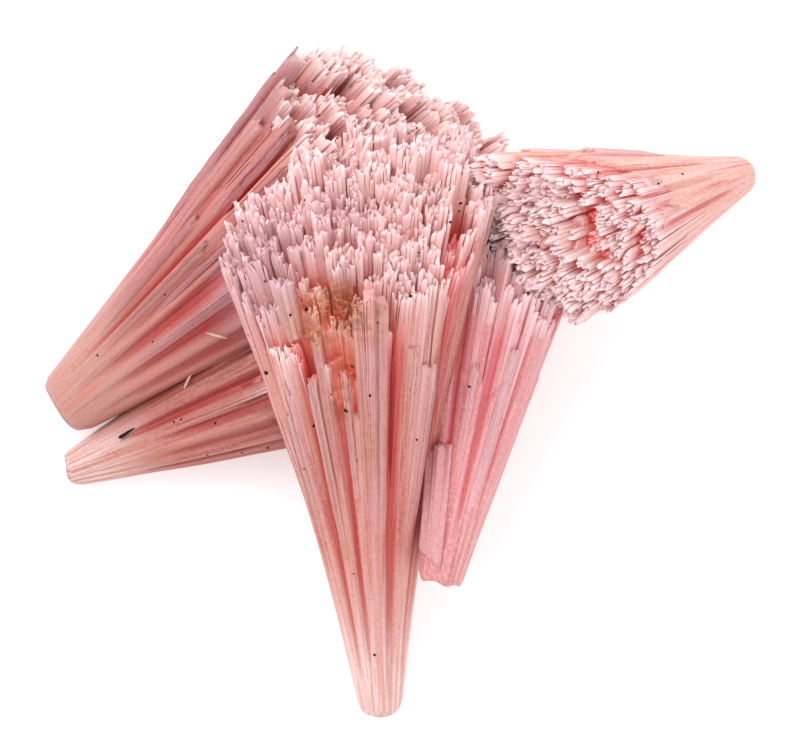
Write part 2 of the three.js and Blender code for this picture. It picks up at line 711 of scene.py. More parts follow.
def middle_lines(
    crystals: list[Crystal], how: Sweep, shares: np.ndarray, grown: np.ndarray
) -> np.ndarray:
    """Where the middles of crystals run.

    Args:
        crystals: the crystals.
        how: the way they are swept.
        shares: for each crystal, the shares of the length where its rings lie.
        grown: how far each ring has come out to its place.

    Returns:
        The side and the rise of each ring of each crystal.
    """
    centres = np.array([c.centre for c in crystals])[:, None]
    prouds = np.array([c.proud for c in crystals])[:, None, None]
    sway = np.array([c.sway for c in crystals])[:, None]
    wander = sway[..., 0:2] * np.sin(sway[..., 2:3] * shares[..., None] + sway[..., 3:4])
    steps = np.linspace(0, 1, how.rings)
    hidden = np.append(1 - smooth(steps, 0, how.emerge), 0)[None, :, None]
    return centres * (1 + prouds * grown - how.sunk * hidden) + wander * grown


def ring_outlines(outlines: np.ndarray, how: Sweep, grown: np.ndarray) -> np.ndarray:
    """The outlines of crystals ring by ring, with corners that round off as they grow.

    Args:
        outlines: one outline for each crystal.
        how: the way they are swept.
        grown: how far each ring has come out to its place.

    Returns:
        An outline for each ring of each crystal.
    """
    rounded = (np.roll(outlines, 1, 1) + 2 * outlines + np.roll(outlines, -1, 1)) / 4
    rounded = outlines + (rounded - outlines) * how.rounding
    bent = outlines[:, None] + (rounded - outlines)[:, None] * grown[..., None]
    scale = how.width * np.append(np.ones(how.rings), how.tip_scale)
    return bent * scale[None, :, None, None]


def tip_lift(
    outlines: np.ndarray, how: Sweep, length: float, rng: np.random.Generator
) -> np.ndarray:
    """How the broken tips of crystals slant.

    Args:
        outlines: one outline for each crystal.
        how: the way they are swept.
        length: the sheaf's length in millimetres.
        rng: the source of their unevenness.

    Returns:
        For each corner, how much further it goes, in shares of the length.
    """
    count, corners, _ = outlines.shape
    reach = np.abs(outlines).max((1, 2))[:, None, None]
    slopes = rng.normal(0, how.slope / length, (count, 2))
    lift = np.einsum("nmi,ni->nm", outlines / reach, slopes)
    return lift + rng.normal(0, how.rough / length, (count, corners))


@dataclass
class Skin:
    """A mesh that is being put together from closed skins.

    Args:
        growth: points in growth space.
        quads: faces with four corners.
        triangles: faces with three corners.
        looks: for each point its crystal's tone, its lath's tone, and the share of the length
            where its crystal ends or looks as if it did.
        soft: for each quad, whether it is shaded smooth.
        count: how many points there are.
    """

    growth: list[np.ndarray] = field(default_factory=list)
    quads: list[np.ndarray] = field(default_factory=list)
    triangles: list[np.ndarray] = field(default_factory=list)
    looks: list[np.ndarray] = field(default_factory=list)
    soft: list[np.ndarray] = field(default_factory=list)
    count: int = 0

    def sweep(
        self, crystals: list[Crystal], how: Sweep, length: float, rng: np.random.Generator
    ) -> None:
        """Adds crystals to the mesh, those with as many corners together.

        Args:
            crystals: the crystals.
            how: the way they are swept.
            length: the sheaf's length in millimetres.
            rng: the source of their unevenness.
        """
        for corners in sorted({len(c.outline) for c in crystals}):
            alike = [c for c in crystals if len(c.outline) == corners]
            self._sweep_alike(alike, how, length, rng)

    def _sweep_alike(
        self, crystals: list[Crystal], how: Sweep, length: float, rng: np.random.Generator
    ) -> None:
        """Adds crystals that all have the same number of corners."""
        outlines = np.array([c.outline for c in crystals])
        starts = np.array([c.start for c in crystals])
        tips = np.array([c.tip for c in crystals])
        count, corners, _ = outlines.shape
        rings = how.rings + 1
        chip = how.chip / length
        shoulders = np.maximum(tips - chip, starts + chip)
        shares = starts[:, None] + (shoulders - starts)[:, None] * np.linspace(0, 1, how.rings)
        shares = np.concatenate([shares, shoulders[:, None] + chip], axis=1)
        grown = smooth(shares, *GROWN)[..., None]
        middles = middle_lines(crystals, how, shares, grown)
        sections = middles[:, :, None] + ring_outlines(outlines, how, grown)
        levels = np.repeat(shares[:, :, None], corners, 2)
        levels[:, -2:] += tip_lift(outlines, how, length, rng)[:, None]
        body = np.concatenate([sections, levels[..., None]], axis=-1)
        ends = [body[:, end].mean(1, keepdims=True) for end in (0, -1)]
        points = np.concatenate([body.reshape(count, rings * corners, 3), *ends], axis=1)
        self._join(points, rings, corners, soft=False)
        looks = [(c.tone, c.lath_tone, c.tip + how.fresh / length) for c in crystals]
        self.looks.append(np.repeat(looks, points.shape[1], axis=0))

    def wrap(self, shape: SheafShape, how: Flank, rng: np.random.Generator) -> None:
        """Adds the smooth flank in which the crystals have grown together.

        Args:
            shape: the sheaf.
            how: the flank's sizes.
            rng: the source of its unevenness.
        """
        turns = np.linspace(0, 2 * math.pi, how.around, endpoint=False)
        end = np.minimum(how.end, shape.head(np.cos(turns), np.sin(turns)) - how.below)
        end = end + how.waves * waves_round(turns, rng, END_WAVES)
        end = end + how.ragged * rng.normal(size=how.around)
        broken = how.broken / shape.length * waves_round(turns, rng, ROOT_WAVES)
        steps = np.linspace(0, 1, how.along) ** RING_CROWDING
        shares = steps[:, None] * end + (1 - smooth(steps, *ROOT_EVENS))[:, None] * broken
        rounded = how.root_rounding * (1 - smooth(steps, *ROOT_ROUNDED))
        rounded = rounded + how.end_rounding * smooth(steps, *END_ROUNDED)
        reach = how.reach * (1 - rounded)
        rings = np.stack(
            [reach[:, None] * np.cos(turns), reach[:, None] * np.sin(turns), shares], axis=-1
        )
        ends = [np.array([[0, 0, shares[0].mean()]]), np.array([[0, 0, shares[-1].mean()]])]
        points = np.concatenate([rings.reshape(-1, 3), *ends])[None]
        self._join(points, how.along, how.around, soft=True)
        self.looks.append(np.full((points.shape[1], 3), FLANK_LOOK))

    def lay(self, plate: Plate, shape: SheafShape, rng: np.random.Generator) -> None:
        """Adds a broken plate on the flank.

        Args:
            plate: the plate.
            shape: the sheaf.
            rng: the source of its unevenness.
        """
        form = PLATE_FORM
        steps = np.linspace(0, 1, form.rings)[:, None]
        keel = [form.keel_width, -form.keel_width]
        across = np.concatenate([np.linspace(-1, 1, form.corners), keel])
        grown = np.ones((form.rings, 1)) if plate.bare else smooth(steps, 0, form.emerge)
        half = plate.half_width * (1 + (plate.narrows - 1) * steps)
        angles = plate.angle + half * across + rng.normal(0, form.wander, (form.rings, 1))
        streaks = form.streaks * np.append(rng.normal(size=form.corners), [0, 0])
        out = plate.out * (1 - form.bow * across**2 + streaks)
        out = np.where(np.arange(len(across)) < form.corners, out, -form.keel)
        reach = 1 + out * grown - form.sunk * (1 - grown)
        reach[[0, -1]] -= form.bow * plate.out
        ragged = rng.normal(size=(2, form.corners // form.step_points))
        ragged = np.repeat(np.clip(ragged, *form.step_range), form.step_points, axis=1)
        ragged = np.concatenate([form.steps * ragged, np.zeros((2, 2))], axis=1)
        first = plate.start + plate.slants[0] * across + form.start_steps * ragged[0]
        last = plate.tip + plate.slants[1] * across + ragged[1]
        shares = first + (last - first) * steps
        turns = np.radians(angles)
        body = np.stack([reach * np.cos(turns), reach * np.sin(turns), shares], axis=-1)
        ends = [body[0].mean(0, keepdims=True), body[-1].mean(0, keepdims=True)]
        points = np.concatenate([body.reshape(-1, 3), *ends])[None]
        self._join(points, form.rings, len(across), soft=True)
        look = (rng.random(), rng.random(), plate.tip + plate.fresh / shape.length)
        self.looks.append(np.full((points.shape[1], 3), look))

    def _join(self, points: np.ndarray, rings: int, corners: int, soft: bool) -> None:
        """Keeps the points of swept crystals and joins them into closed skins.

        Args:
            points: for each crystal its rings in order, then the middles of its two ends.
            rings: how many rings each has.
            corners: how many points each ring has.
            soft: whether the sides are shaded as one smooth surface.
        """
        stride = points.shape[1]
        base = self.count + np.arange(len(points))[:, None, None] * stride
        ring, corner = np.meshgrid(np.arange(rings - 1), np.arange(corners), indexing="ij")
        here, onward = ring * corners + corner, ring * corners + (corner + 1) % corners
        quads = np.stack([here, onward, onward + corners, here + corners], axis=-1)
        corner = np.arange(corners)
        onward = (corner + 1) % corners
        middle = np.full(corners, rings * corners)
        top = (rings - 1) * corners
        base_cap = np.stack([middle, onward, corner], axis=-1)
        tip_cap = np.stack([middle + 1, top + corner, top + onward], axis=-1)
        self.quads.append((base + quads.reshape(1, -1, 4)).reshape(-1, 4))
        self.soft.append(np.full(len(self.quads[-1]), soft))
        self.triangles.append((base + np.concatenate([base_cap, tip_cap])[None]).reshape(-1, 3))
        self.growth.append(points.reshape(-1, 3))
        self.count += len(points) * stride

    def mesh(self, name: str, shape: SheafShape, relief: Relief) -> bpy.types.Mesh:
        """The finished mesh, built from whole arrays because thousands of crystals share it.

        Args:
            name: the mesh's name.
            shape: the sheaf that the crystals grow in.
            relief: the folds of its flank.

        Returns:
            The mesh in metres, with its point values.
        """
        growth = relief.warp(np.concatenate(self.growth))
        quads, triangles = np.concatenate(self.quads), np.concatenate(self.triangles)
        points = shape.place(growth * (SWELL, SWELL, 1))
        points[:, 2] = np.maximum(points[:, 2], 0)
        mesh = bpy.data.meshes.new(name)
        mesh.vertices.add(len(points))
        mesh.vertices.foreach_set("co", (points * MM).astype(np.float32).ravel())
        loops = np.concatenate([quads.ravel(), triangles.ravel()]).astype(np.int32)
        mesh.loops.add(len(loops))
        mesh.loops.foreach_set("vertex_index", loops)
        starts = [np.arange(len(quads)) * 4, len(quads) * 4 + np.arange(len(triangles)) * 3]
        starts = np.concatenate(starts).astype(np.int32)
        mesh.polygons.add(len(starts))
        mesh.polygons.foreach_set("loop_start", starts)
        soft = np.concatenate([*self.soft, np.zeros(len(triangles), bool)])
        mesh.polygons.foreach_set("use_smooth", soft)
        mesh.update(calc_edges=True)
        self._write_values(mesh, growth, points, shape)
        return mesh

    def _write_values(
        self, mesh: bpy.types.Mesh, growth: np.ndarray, points: np.ndarray, shape: SheafShape
    ) -> None:
        """Gives the mesh the point values that its material reads.

        Args:
            mesh: the mesh.
            growth: its points in growth space.
            points: its points in millimetres.
            shape: the sheaf.
        """
        side, rise, share = growth.T
        streak = np.stack([side, rise, share * shape.length], axis=1)
        reach = np.hypot(side, rise)
        sunk = smooth(1 - reach, *FLANK_RECESS) * smooth(share, *ROOT_RECESS)
        head = (shape.head(side, rise) - share) * shape.length
        recess = np.minimum(sunk, smooth(head, *HEAD_RECESS))
        tone, lath_tone, tip = np.concatenate(self.looks).T
        attribute = mesh.attributes.new("growth", "FLOAT_VECTOR", "POINT")
        attribute.data.foreach_set("vector", streak.astype(np.float32).ravel())
        values = {
            "share": share,
            "recess": recess,
            "crest_highlight": smooth(reach, *CREST_HIGHLIGHT),
            "below_tip": (tip - share) * shape.length,
            "tone": tone,
            "lath_tone": lath_tone,
        }
        for patch in STAINS_AND_SHADES:
            values[patch.name] = patch.strength(points)
        for name, value in values.items():
            attribute = mesh.attributes.new(name, "FLOAT", "POINT")
            attribute.data.foreach_set("value", value.astype(np.float32))


# --- stains and painted shades


# A spot fades between these distances from its middle, in shares of its own size.
SPOT_EDGE = (0.35, 1.15)


@dataclass(frozen=True)
class Spot:
    """An oval place in plan.

    Args:
        x: its middle along X, in millimetres.
        y: its middle along Y.
        half_length: half its long side.
        half_width: half its short side.
        turn: direction of the long side, in degrees from +X.
        weight: how strong the stain is in its middle.
    """

    x: float
    y: float
    half_length: float
    half_width: float
    turn: float
    # weight: how strong the mark is in its middle.
    weight: float = 1.0

    def strength(self, points: np.ndarray) -> np.ndarray:
        """How strongly the spot marks points, from 0 to its weight."""
        turn = math.radians(self.turn)
        run = points[:, :2] - (self.x, self.y)
        long = (run @ (math.cos(turn), math.sin(turn))) / self.half_length
        wide = (run @ (-math.sin(turn), math.cos(turn))) / self.half_width
        return self.weight * (1 - smooth(np.hypot(long, wide), *SPOT_EDGE))


@dataclass(frozen=True)
class Patch:
    """A mark made of oval places, such as rust or a painted shade.

    Args:
        name: the point value that carries it.
        spots: the places.
    """

    name: str
    spots: tuple[Spot, ...]

    def strength(self, points: np.ndarray) -> np.ndarray:
        """How strongly the mark covers points in millimetres, from 0 to 1."""
        return np.max([spot.strength(points) for spot in self.spots], axis=0)


STAINS_AND_SHADES = (
    Patch(
        "rust",
        (
            Spot(-5.9, 4.9, 3.7, 3.2, 20),
            Spot(-4.6, -0.5, 4.6, 1.3, 88, 0.5),
            Spot(-2.6, -6.0, 4.4, 0.8, 86, 0.3),
            Spot(-2.2, 4.5, 2.4, 1.5, 88, 0.45),
            Spot(-3.9, 1.4, 2.6, 0.6, 88, 0.9),
        ),
    ),
    # A painted cool shade on the left of the front sheaf's head.
    Patch("lilac_shade", (Spot(-11.0, 8.5, 6.0, 4.5, 60), Spot(-4.5, 13.5, 3.5, 2.5, 30, 0.6))),
    # Grime with a painted shadow, where the right sheaf meets the front and lower right ones.
    Patch(
        "grime_and_shade",
        (
            Spot(7.6, 11.5, 4.6, 0.9, 88, 0.25),
            Spot(8.6, 6.4, 2.0, 0.9, 60, 0.2),
        ),
    ),
)


# --- shader maths


class Value:
    """A number that varies over a surface, with the operators of Python's own numbers."""

    def __init__(self, graph: "Graph", socket: bpy.types.NodeSocket) -> None:
        """Keeps the socket and the graph that it belongs to."""
        self.graph = graph
        self.socket = socket

    def _maths(self, operation: str, *terms: "Value | float") -> "Value":
        """One Math node on these terms."""
        node = self.graph.node(
            "ShaderNodeMath", {"operation": operation}, dict(enumerate(terms))
        )
        return Value(self.graph, node.outputs[0])

    def __add__(self, other: "Value | float") -> "Value":
        """Sum."""
        return self._maths("ADD", self, other)

    def __radd__(self, other: float) -> "Value":
        """Sum with a number on the left."""
        return self._maths("ADD", other, self)

    def __sub__(self, other: "Value | float") -> "Value":
        """Difference."""
        return self._maths("SUBTRACT", self, other)

    def __rsub__(self, other: float) -> "Value":
        """Difference with a number on the left."""
        return self._maths("SUBTRACT", other, self)

    def __mul__(self, other: "Value | float") -> "Value":
        """Product."""
        return self._maths("MULTIPLY", self, other)

    def __rmul__(self, other: float) -> "Value":
        """Product with a number on the left."""
        return self._maths("MULTIPLY", other, self)

    def exponential(self) -> "Value":
        """The constant e to the power of this."""
        return self._maths("EXPONENT", self)

    def eased(self, low: float, high: float, to_low: float = 0.0, to_high: float = 1.0) -> "Value":
        """This value eased between two levels.

        Args:
            low: where the result is to_low.
            high: where the result is to_high.
            to_low: the result at and below low.
            to_high: the result at and above high.

        Returns:
            The eased value.
        """
        node = self.graph.node(
            "ShaderNodeMapRange",
            {"interpolation_type": "SMOOTHSTEP", "clamp": True},
            {"Value": self, "From Min": low, "From Max": high, "To Min": to_low, "To Max": to_high},
        )
        return Value(self.graph, node.outputs["Result"])


class Shade:
    """A colour that varies over a surface."""

    def __init__(self, graph: "Graph", socket: bpy.types.NodeSocket) -> None:
        """Keeps the socket and the graph that it belongs to."""
        self.graph = graph
        self.socket = socket

    def towards(self, other: "Shade | Colour", factor: "Value | float") -> "Shade":
        """This colour mixed with another."""
        return self.graph.mixed(factor, self, other)


class Graph:
    """A material's node tree."""

    def __init__(self, material: bpy.types.Material) -> None:
        """Starts with an empty tree."""
        material.use_nodes = True
        self.tree = material.node_tree
        self.tree.nodes.clear()

    def node(
        self, kind: str, settings: dict[str, object], inputs: dict[str | int, object]
    ) -> bpy.types.Node:
        """Makes one node.

        Args:
            kind: the node's type.
            settings: its properties, which are set first.
            inputs: a value or a link for each socket, by name or number.

        Returns:
            The node.
        """
        node = self.tree.nodes.new(kind)
        for name, value in settings.items():
            setattr(node, name, value)
        for key, value in inputs.items():
            if isinstance(value, (Value, Shade)):
                value = value.socket
            if isinstance(value, bpy.types.NodeSocket):
                self.tree.links.new(value, node.inputs[key])
            else:
                node.inputs[key].default_value = value
        return node

    def mixed(self, factor: Value | float, first: Shade | Colour, second: Shade | Colour) -> Shade:
        """Two colours through a Mix node.

        Args:
            factor: how much of the second.
            first: the first colour.
            second: the second colour.

        Returns:
            The mixed colour.
        """
        colours = [c if isinstance(c, Shade) else (*c, 1.0) for c in (first, second)]
        node = self.node(
            "ShaderNodeMix",
            {"data_type": "RGBA", "blend_type": "MIX", "clamp_factor": True},
            {0: factor, 6: colours[0], 7: colours[1]},
        )
        return Shade(self, node.outputs[2])

    def value_of(self, name: str) -> Value:
        """A point value of the mesh."""
        node = self.node("ShaderNodeAttribute", {"attribute_name": name}, {})
        return Value(self, node.outputs["Fac"])

    def vector_of(self, name: str) -> bpy.types.NodeSocket:
        """A point vector of the mesh."""
        node = self.node("ShaderNodeAttribute", {"attribute_name": name}, {})
        return node.outputs["Vector"]

    def place(self) -> bpy.types.NodeSocket:
        """The place on the piece, in metres."""
        return self.node("ShaderNodeTexCoord", {}, {}).outputs["Object"]

    def scaled(
        self, vector: bpy.types.NodeSocket, scale: tuple[float, float, float]
    ) -> bpy.types.NodeSocket:
        """A vector multiplied by three numbers."""
        node = self.node("ShaderNodeVectorMath", {"operation": "MULTIPLY"}, {0: vector, 1: scale})
        return node.outputs[0]

    def noise(
        self,
        vector: bpy.types.NodeSocket,
        scale: float,
        detail: float = 2.0,
        roughness: float = 0.5,
    ) -> Value:
        """Cloudy noise.

        Args:
            vector: where it is read.
            scale: its fineness.
            detail: how many finer layers it has.
            roughness: how strong the finer layers are.

        Returns:
            The noise, from 0 to 1 about 0.5.
        """
        node = self.node(
            "ShaderNodeTexNoise",
            {},
            {"Vector": vector, "Scale": scale, "Detail": detail, "Roughness": roughness},
        )
        return Value(self, node.outputs["Fac"])

    def bump(self, height: Value, strength: float, distance: float) -> bpy.types.NodeSocket:
        """A normal tilted by a height.

        Args:
            height: the height, from 0 to 1.
            strength: how much of it shows.
            distance: how high 1 is, in metres.

        Returns:
            The normal.
        """
        node = self.node(
            "ShaderNodeBump", {}, {"Strength": strength, "Distance": distance, "Height": height}
        )
        return node.outputs["Normal"]

    def surface(self, inputs: dict[str | int, object]) -> None:
        """Ends the tree in a Principled shader with these sockets."""
        shader = self.node("ShaderNodeBsdfPrincipled", {}, inputs)
        self.node("ShaderNodeOutputMaterial", {}, {"Surface": shader.outputs[0]})


# --- finishes


# Streaks in the crystals, which change fast across them and slowly along them.
FINE_STREAKS = (30, 30, 0.16)
BROAD_STREAKS = (10, 10, 0.07)
# Fineness of the other patterns, per metre.
GRAINS = 3400.0
MOTTLE = 1700.0
CLOUDS = 160.0
# How fast the broad frost and the painted glow in the recesses fade below the tips, per millimetre.
BLOOM_FADE = -0.16
PAINTED_GLOW_FADE = -0.25
# Height of the crystals' fine relief, in metres.
RELIEF_HEIGHT = 0.00022
CARBONATE_INDEX = 1.6
# Strength of the painted glow in the recesses.
PAINTED_RECESS_GLOW = 0.4
BLACK = (0.0, 0.0, 0.0)


def linear(code: str) -> Colour:
    """A colour for the shaders from its usual six-figure code."""
    levels = [int(code[i : i + 2], 16) / 255 for i in (0, 2, 4)]
    return tuple(v / 12.92 if v <= 0.04045 else ((v + 0.055) / 1.055) ** 2.4 for v in levels)


@dataclass(frozen=True)
class CrystalFinish:
    """Silky carbonate needles: pale frosty ends, pink sides, and a painted deep red shade and glow
    between them.

    Args:
        name: the material's name.
        body: colour of the sides along most of the sheaf.
        root: colour near the root.
        deep: colour of darker streaks and grains, and of the painted shade and painted glow down
            between the crystals.
        frost: colour of the broken tips.
        blush: colour that some laths lean to.
        silver: cooler colour that other laths lean to, also painted on the crests as a highlight.
        root_reach: the share of the length by which the root's colour has gone.
        bloom: how far the frost spreads down from the tips.
        hollow: the recess at which the painted shade between the crystals is deepest, from 0 to 1.
        thaw: how fast the frost at the tips fades on the way down, per millimetre.
    """

    name: str
    body: Colour
    root: Colour
    deep: Colour
    frost: Colour
    blush: Colour
    silver: Colour
    root_reach: float = 0.45
    bloom: float = 0.4
    hollow: float = 1.0
    thaw: float = 1.1

    def material(self) -> bpy.types.Material:
        """Builds the material.

        Returns:
            The material.
        """
        material = bpy.data.materials.new(self.name)
        graph = Graph(material)
        growth = graph.vector_of("growth")
        fine = graph.noise(graph.scaled(growth, FINE_STREAKS), 1.0, 3.0, 0.6)
        broad = graph.noise(graph.scaled(growth, BROAD_STREAKS), 1.0, 2.0)
        place = graph.place()
        grains = graph.noise(place, GRAINS, 2.0, 0.7)
        clouds = graph.noise(place, CLOUDS, 3.0)
        share, recess = graph.value_of("share"), graph.value_of("recess").eased(0, self.hollow)
        below_tip, tone = graph.value_of("below_tip"), graph.value_of("tone")
        lath_tone = graph.value_of("lath_tone")
        frost = (below_tip * -self.thaw).exponential() * (0.97 - self.bloom)
        frost = frost + (below_tip * BLOOM_FADE).exponential() * self.bloom
        streaks = fine * 0.6 + broad * 0.4

        # The root's colour gives way to the body's, and laths and streaks lean to other colours.
        colour = graph.mixed(share.eased(0.04, self.root_reach), self.root, self.body)
        colour = colour.towards(self.blush, (lath_tone * 0.4 + broad).eased(0.58, 0.82) * 0.85)
        colour = colour.towards(self.silver, (tone * 0.4 + streaks).eased(0.64, 0.84) * 0.65)
        colour = colour.towards(self.deep, (1 - streaks).eased(0.5, 0.66) * 0.55)
        # Painted shade of the deep colour fills the hollows, stronger away from the root; the
        # crests get a painted highlight, and what lies open is pale and grainy.
        colour = colour.towards(self.deep, recess * share.eased(0.12, 0.42, 0.5, 0.88))
        colour = colour.towards(self.silver, graph.value_of("crest_highlight") * 0.4)
        open_side = 1 - recess * 0.8
        colour = colour.towards(self.silver, grains.eased(0.5, 0.68) * open_side * 0.45)
        colour = colour.towards(self.deep, (1 - grains).eased(0.52, 0.7) * 0.3)
        # Frost on the broken ends, fainter in the recesses as painted shade; then a painted cool
        # lilac shade, the rust, and the grime with painted shadow.
        colour = colour.towards(self.frost, frost * (1 - recess * 0.5))
        colour = colour.towards(LILAC_SHADE, graph.value_of("lilac_shade") * 0.5)
        colour = self._stained_and_shaded(graph, colour, clouds, fine)
        # Frost is dull and streaks and grains are felt. A painted glow of the deep colour lights
        # the hollows, most near the tips, in place of the light that passes through the crystals.
        rough = frost.eased(0, 1, 0.42, 0.68) + (grains - 0.5) * 0.25
        height = fine * share.eased(0.05, 0.6, 0.25, 1.0) + grains * 0.35
        lit = (below_tip * PAINTED_GLOW_FADE).exponential() * 0.9 + 0.1
        # Painted glow: an emission of the deep colour in the recesses, fading below the tips.
        glow = graph.mixed(recess * lit, BLACK, self.deep)
        graph.surface(
            {
                "Base Color": colour,
                "Roughness": rough,
                "Normal": graph.bump(height, 0.6, RELIEF_HEIGHT),
                "IOR": CARBONATE_INDEX,
                "Emission Color": glow,
                "Emission Strength": PAINTED_RECESS_GLOW,
            }
        )
        return material

    def _stained_and_shaded(self, graph: Graph, colour: Shade, clouds: Value, fine: Value) -> Shade:
        """The colour with rust, and with a brownish tint and a painted shadow where the sheaves
        meet.

        Args:
            graph: the node tree.
            colour: the clean colour.
            clouds: broad noise that breaks the stains up.
            fine: streaks along the crystals.

        Returns:
            The stained and shaded colour.
        """
        rust = graph.value_of("rust") * (clouds * 0.8 + fine * 0.8).eased(0.45, 0.95, 0.2, 1.0)
        mottle = graph.noise(graph.place(), MOTTLE, 3.0, 0.7)
        colour = colour.towards(RUST, rust * 0.85)
        colour = colour.towards(EARTH, rust * mottle.eased(0.44, 0.56) * 0.85)
        colour = colour.towards(RUST_DARK, rust * (mottle + clouds).eased(0.98, 1.14) * 0.85)
        # Grime that is partly a painted shadow where the sheaves meet.
        grime_and_shade = graph.value_of("grime_and_shade") * clouds.eased(0.35, 0.6, 0.2, 1.0)
        return colour.towards(GRIME_AND_SHADE, grime_and_shade * 0.75)


# Colour of the painted cool shade.
LILAC_SHADE = linear("c8979f")
RUST = linear("e0986a")
RUST_DARK = linear("8a3408")
EARTH = linear("b86e50")
# Colour of the grime and painted shadow where the sheaves meet.
GRIME_AND_SHADE = linear("7c5a50")


class Finish(Enum):
    """The finishes of the five sheaves."""

    FRONT = CrystalFinish(
        "silky_pink_crystal",
        body=linear("be685c"),
        root=linear("f2dcd6"),
        deep=linear("c23e36"),
        frost=linear("f8d6d6"),
        blush=linear("d0907a"),
        silver=linear("dc9e9c"),
        root_reach=0.38,
    )
    LOWER_RIGHT = CrystalFinish(
        "rosy_crystal",
        body=linear("d88488"),
        root=linear("c68682"),
        deep=linear("c84a50"),
        frost=linear("f8d8da"),
        blush=linear("dc8080"),
        silver=linear("ecb6ba"),
    )
    UPPER_LEFT = CrystalFinish(
        "salmon_crystal",
        body=linear("ae5850"),
        root=linear("be988a"),
        deep=linear("b03430"),
        frost=linear("f8dad8"),
        blush=linear("ca7a60"),
        silver=linear("ba7e84"),
        bloom=0.1,
        thaw=0.85,
    )
    LOWER_LEFT = CrystalFinish(
        "deep_salmon_crystal",
        body=linear("9c4e44"),
        root=linear("eed4ce"),
        deep=linear("a03028"),
        frost=linear("e8bcb8"),
        blush=linear("b86c52"),
        silver=linear("c2827c"),
        root_reach=0.35,
        bloom=0.2,
    )
    RIGHT = CrystalFinish(
        "peach_crystal",
        body=linear("dc988e"),
        root=linear("e09f96"),
        deep=linear("c44642"),
        frost=linear("fadfe0"),
        blush=linear("e8a080"),
        silver=linear("f2c8c4"),
        bloom=0.45,
        hollow=0.6,
    )


# The grains' relief and how deep light goes into them, in metres, and by how much for each
# colour of light.
GRAIN_HEIGHT = 0.0001
GLOW_DEPTH = 0.0005
GLOW_RADII = (1.0, 0.6, 0.5)


@dataclass(frozen=True)
class GrainFinish:
    """A plain mineral with a mottled colour, for grains and blades.

    Args:
        name: the material's name.
        light: its lighter colour.
        dark: its darker colour.
        roughness: how dull it is.
        scale: fineness of the mottling, per metre.
        shine: how much it mirrors, 0.5 being usual.
        glow: how much light passes into it.
    """

    name: str
    light: Colour
    dark: Colour
    roughness: float
    scale: float
    shine: float = 0.5
    glow: float = 0.0

    def material(self) -> bpy.types.Material:
        """Builds the material.

        Returns:
            The material.
        """
        material = bpy.data.materials.new(self.name)
        graph = Graph(material)
        mottle = graph.noise(graph.place(), self.scale, 3.0, 0.6)
        colour = graph.mixed(mottle.eased(0.35, 0.65), self.dark, self.light)
        graph.surface(
            {
                "Base Color": colour,
                "Roughness": mottle.eased(0.3, 0.7, self.roughness - 0.1, self.roughness + 0.1),
                "Normal": graph.bump(mottle, 0.4, GRAIN_HEIGHT),
                "Specular IOR Level": self.shine,
                "Subsurface Weight": self.glow,
                "Subsurface Radius": GLOW_RADII,
                "Subsurface Scale": GLOW_DEPTH,
            }
        )
        return material


# --- sheaves


@dataclass(frozen=True)
class Habit:
    """How a sheaf's section divides into crystals, and how they break.

    Args:
        laths: how many laths fill the section.
        blades: how many blades each lath splits into.
        needle_area: area of a needle at the head, in square millimetres.
        lath_step: spread of the laths' ends, in millimetres.
        blade_step: spread of the blades' ends within a lath.
        needle_step: spread of the needles' ends within a blade.
        fused: the part of the blades whose needles end together.
        short: the part of the outer laths on the upper side that are broken off short.
        short_by: by how much, in millimetres, least and most.
        pits: the part of the blades that are broken out.
        pit_depth: how deep, in millimetres, least and most.
        above: how much longer the outer laths are than the dome, in millimetres.
        sunk: spread of how far laths lie in or out, in shares of the radius.
    """

    laths: int
    blades: int = 5
    needle_area: float = 0.12
    lath_step: float = 0.9
    blade_step: float = 0.75
    needle_step: float = 0.34
    fused: float = 0.35
    short: float = 0.3
    short_by: tuple[float, float] = (1.5, 7.0)
    pits: float = 0.06
    pit_depth: tuple[float, float] = (1.2, 3.0)
    above: float = 0.4
    sunk: float = 0.025


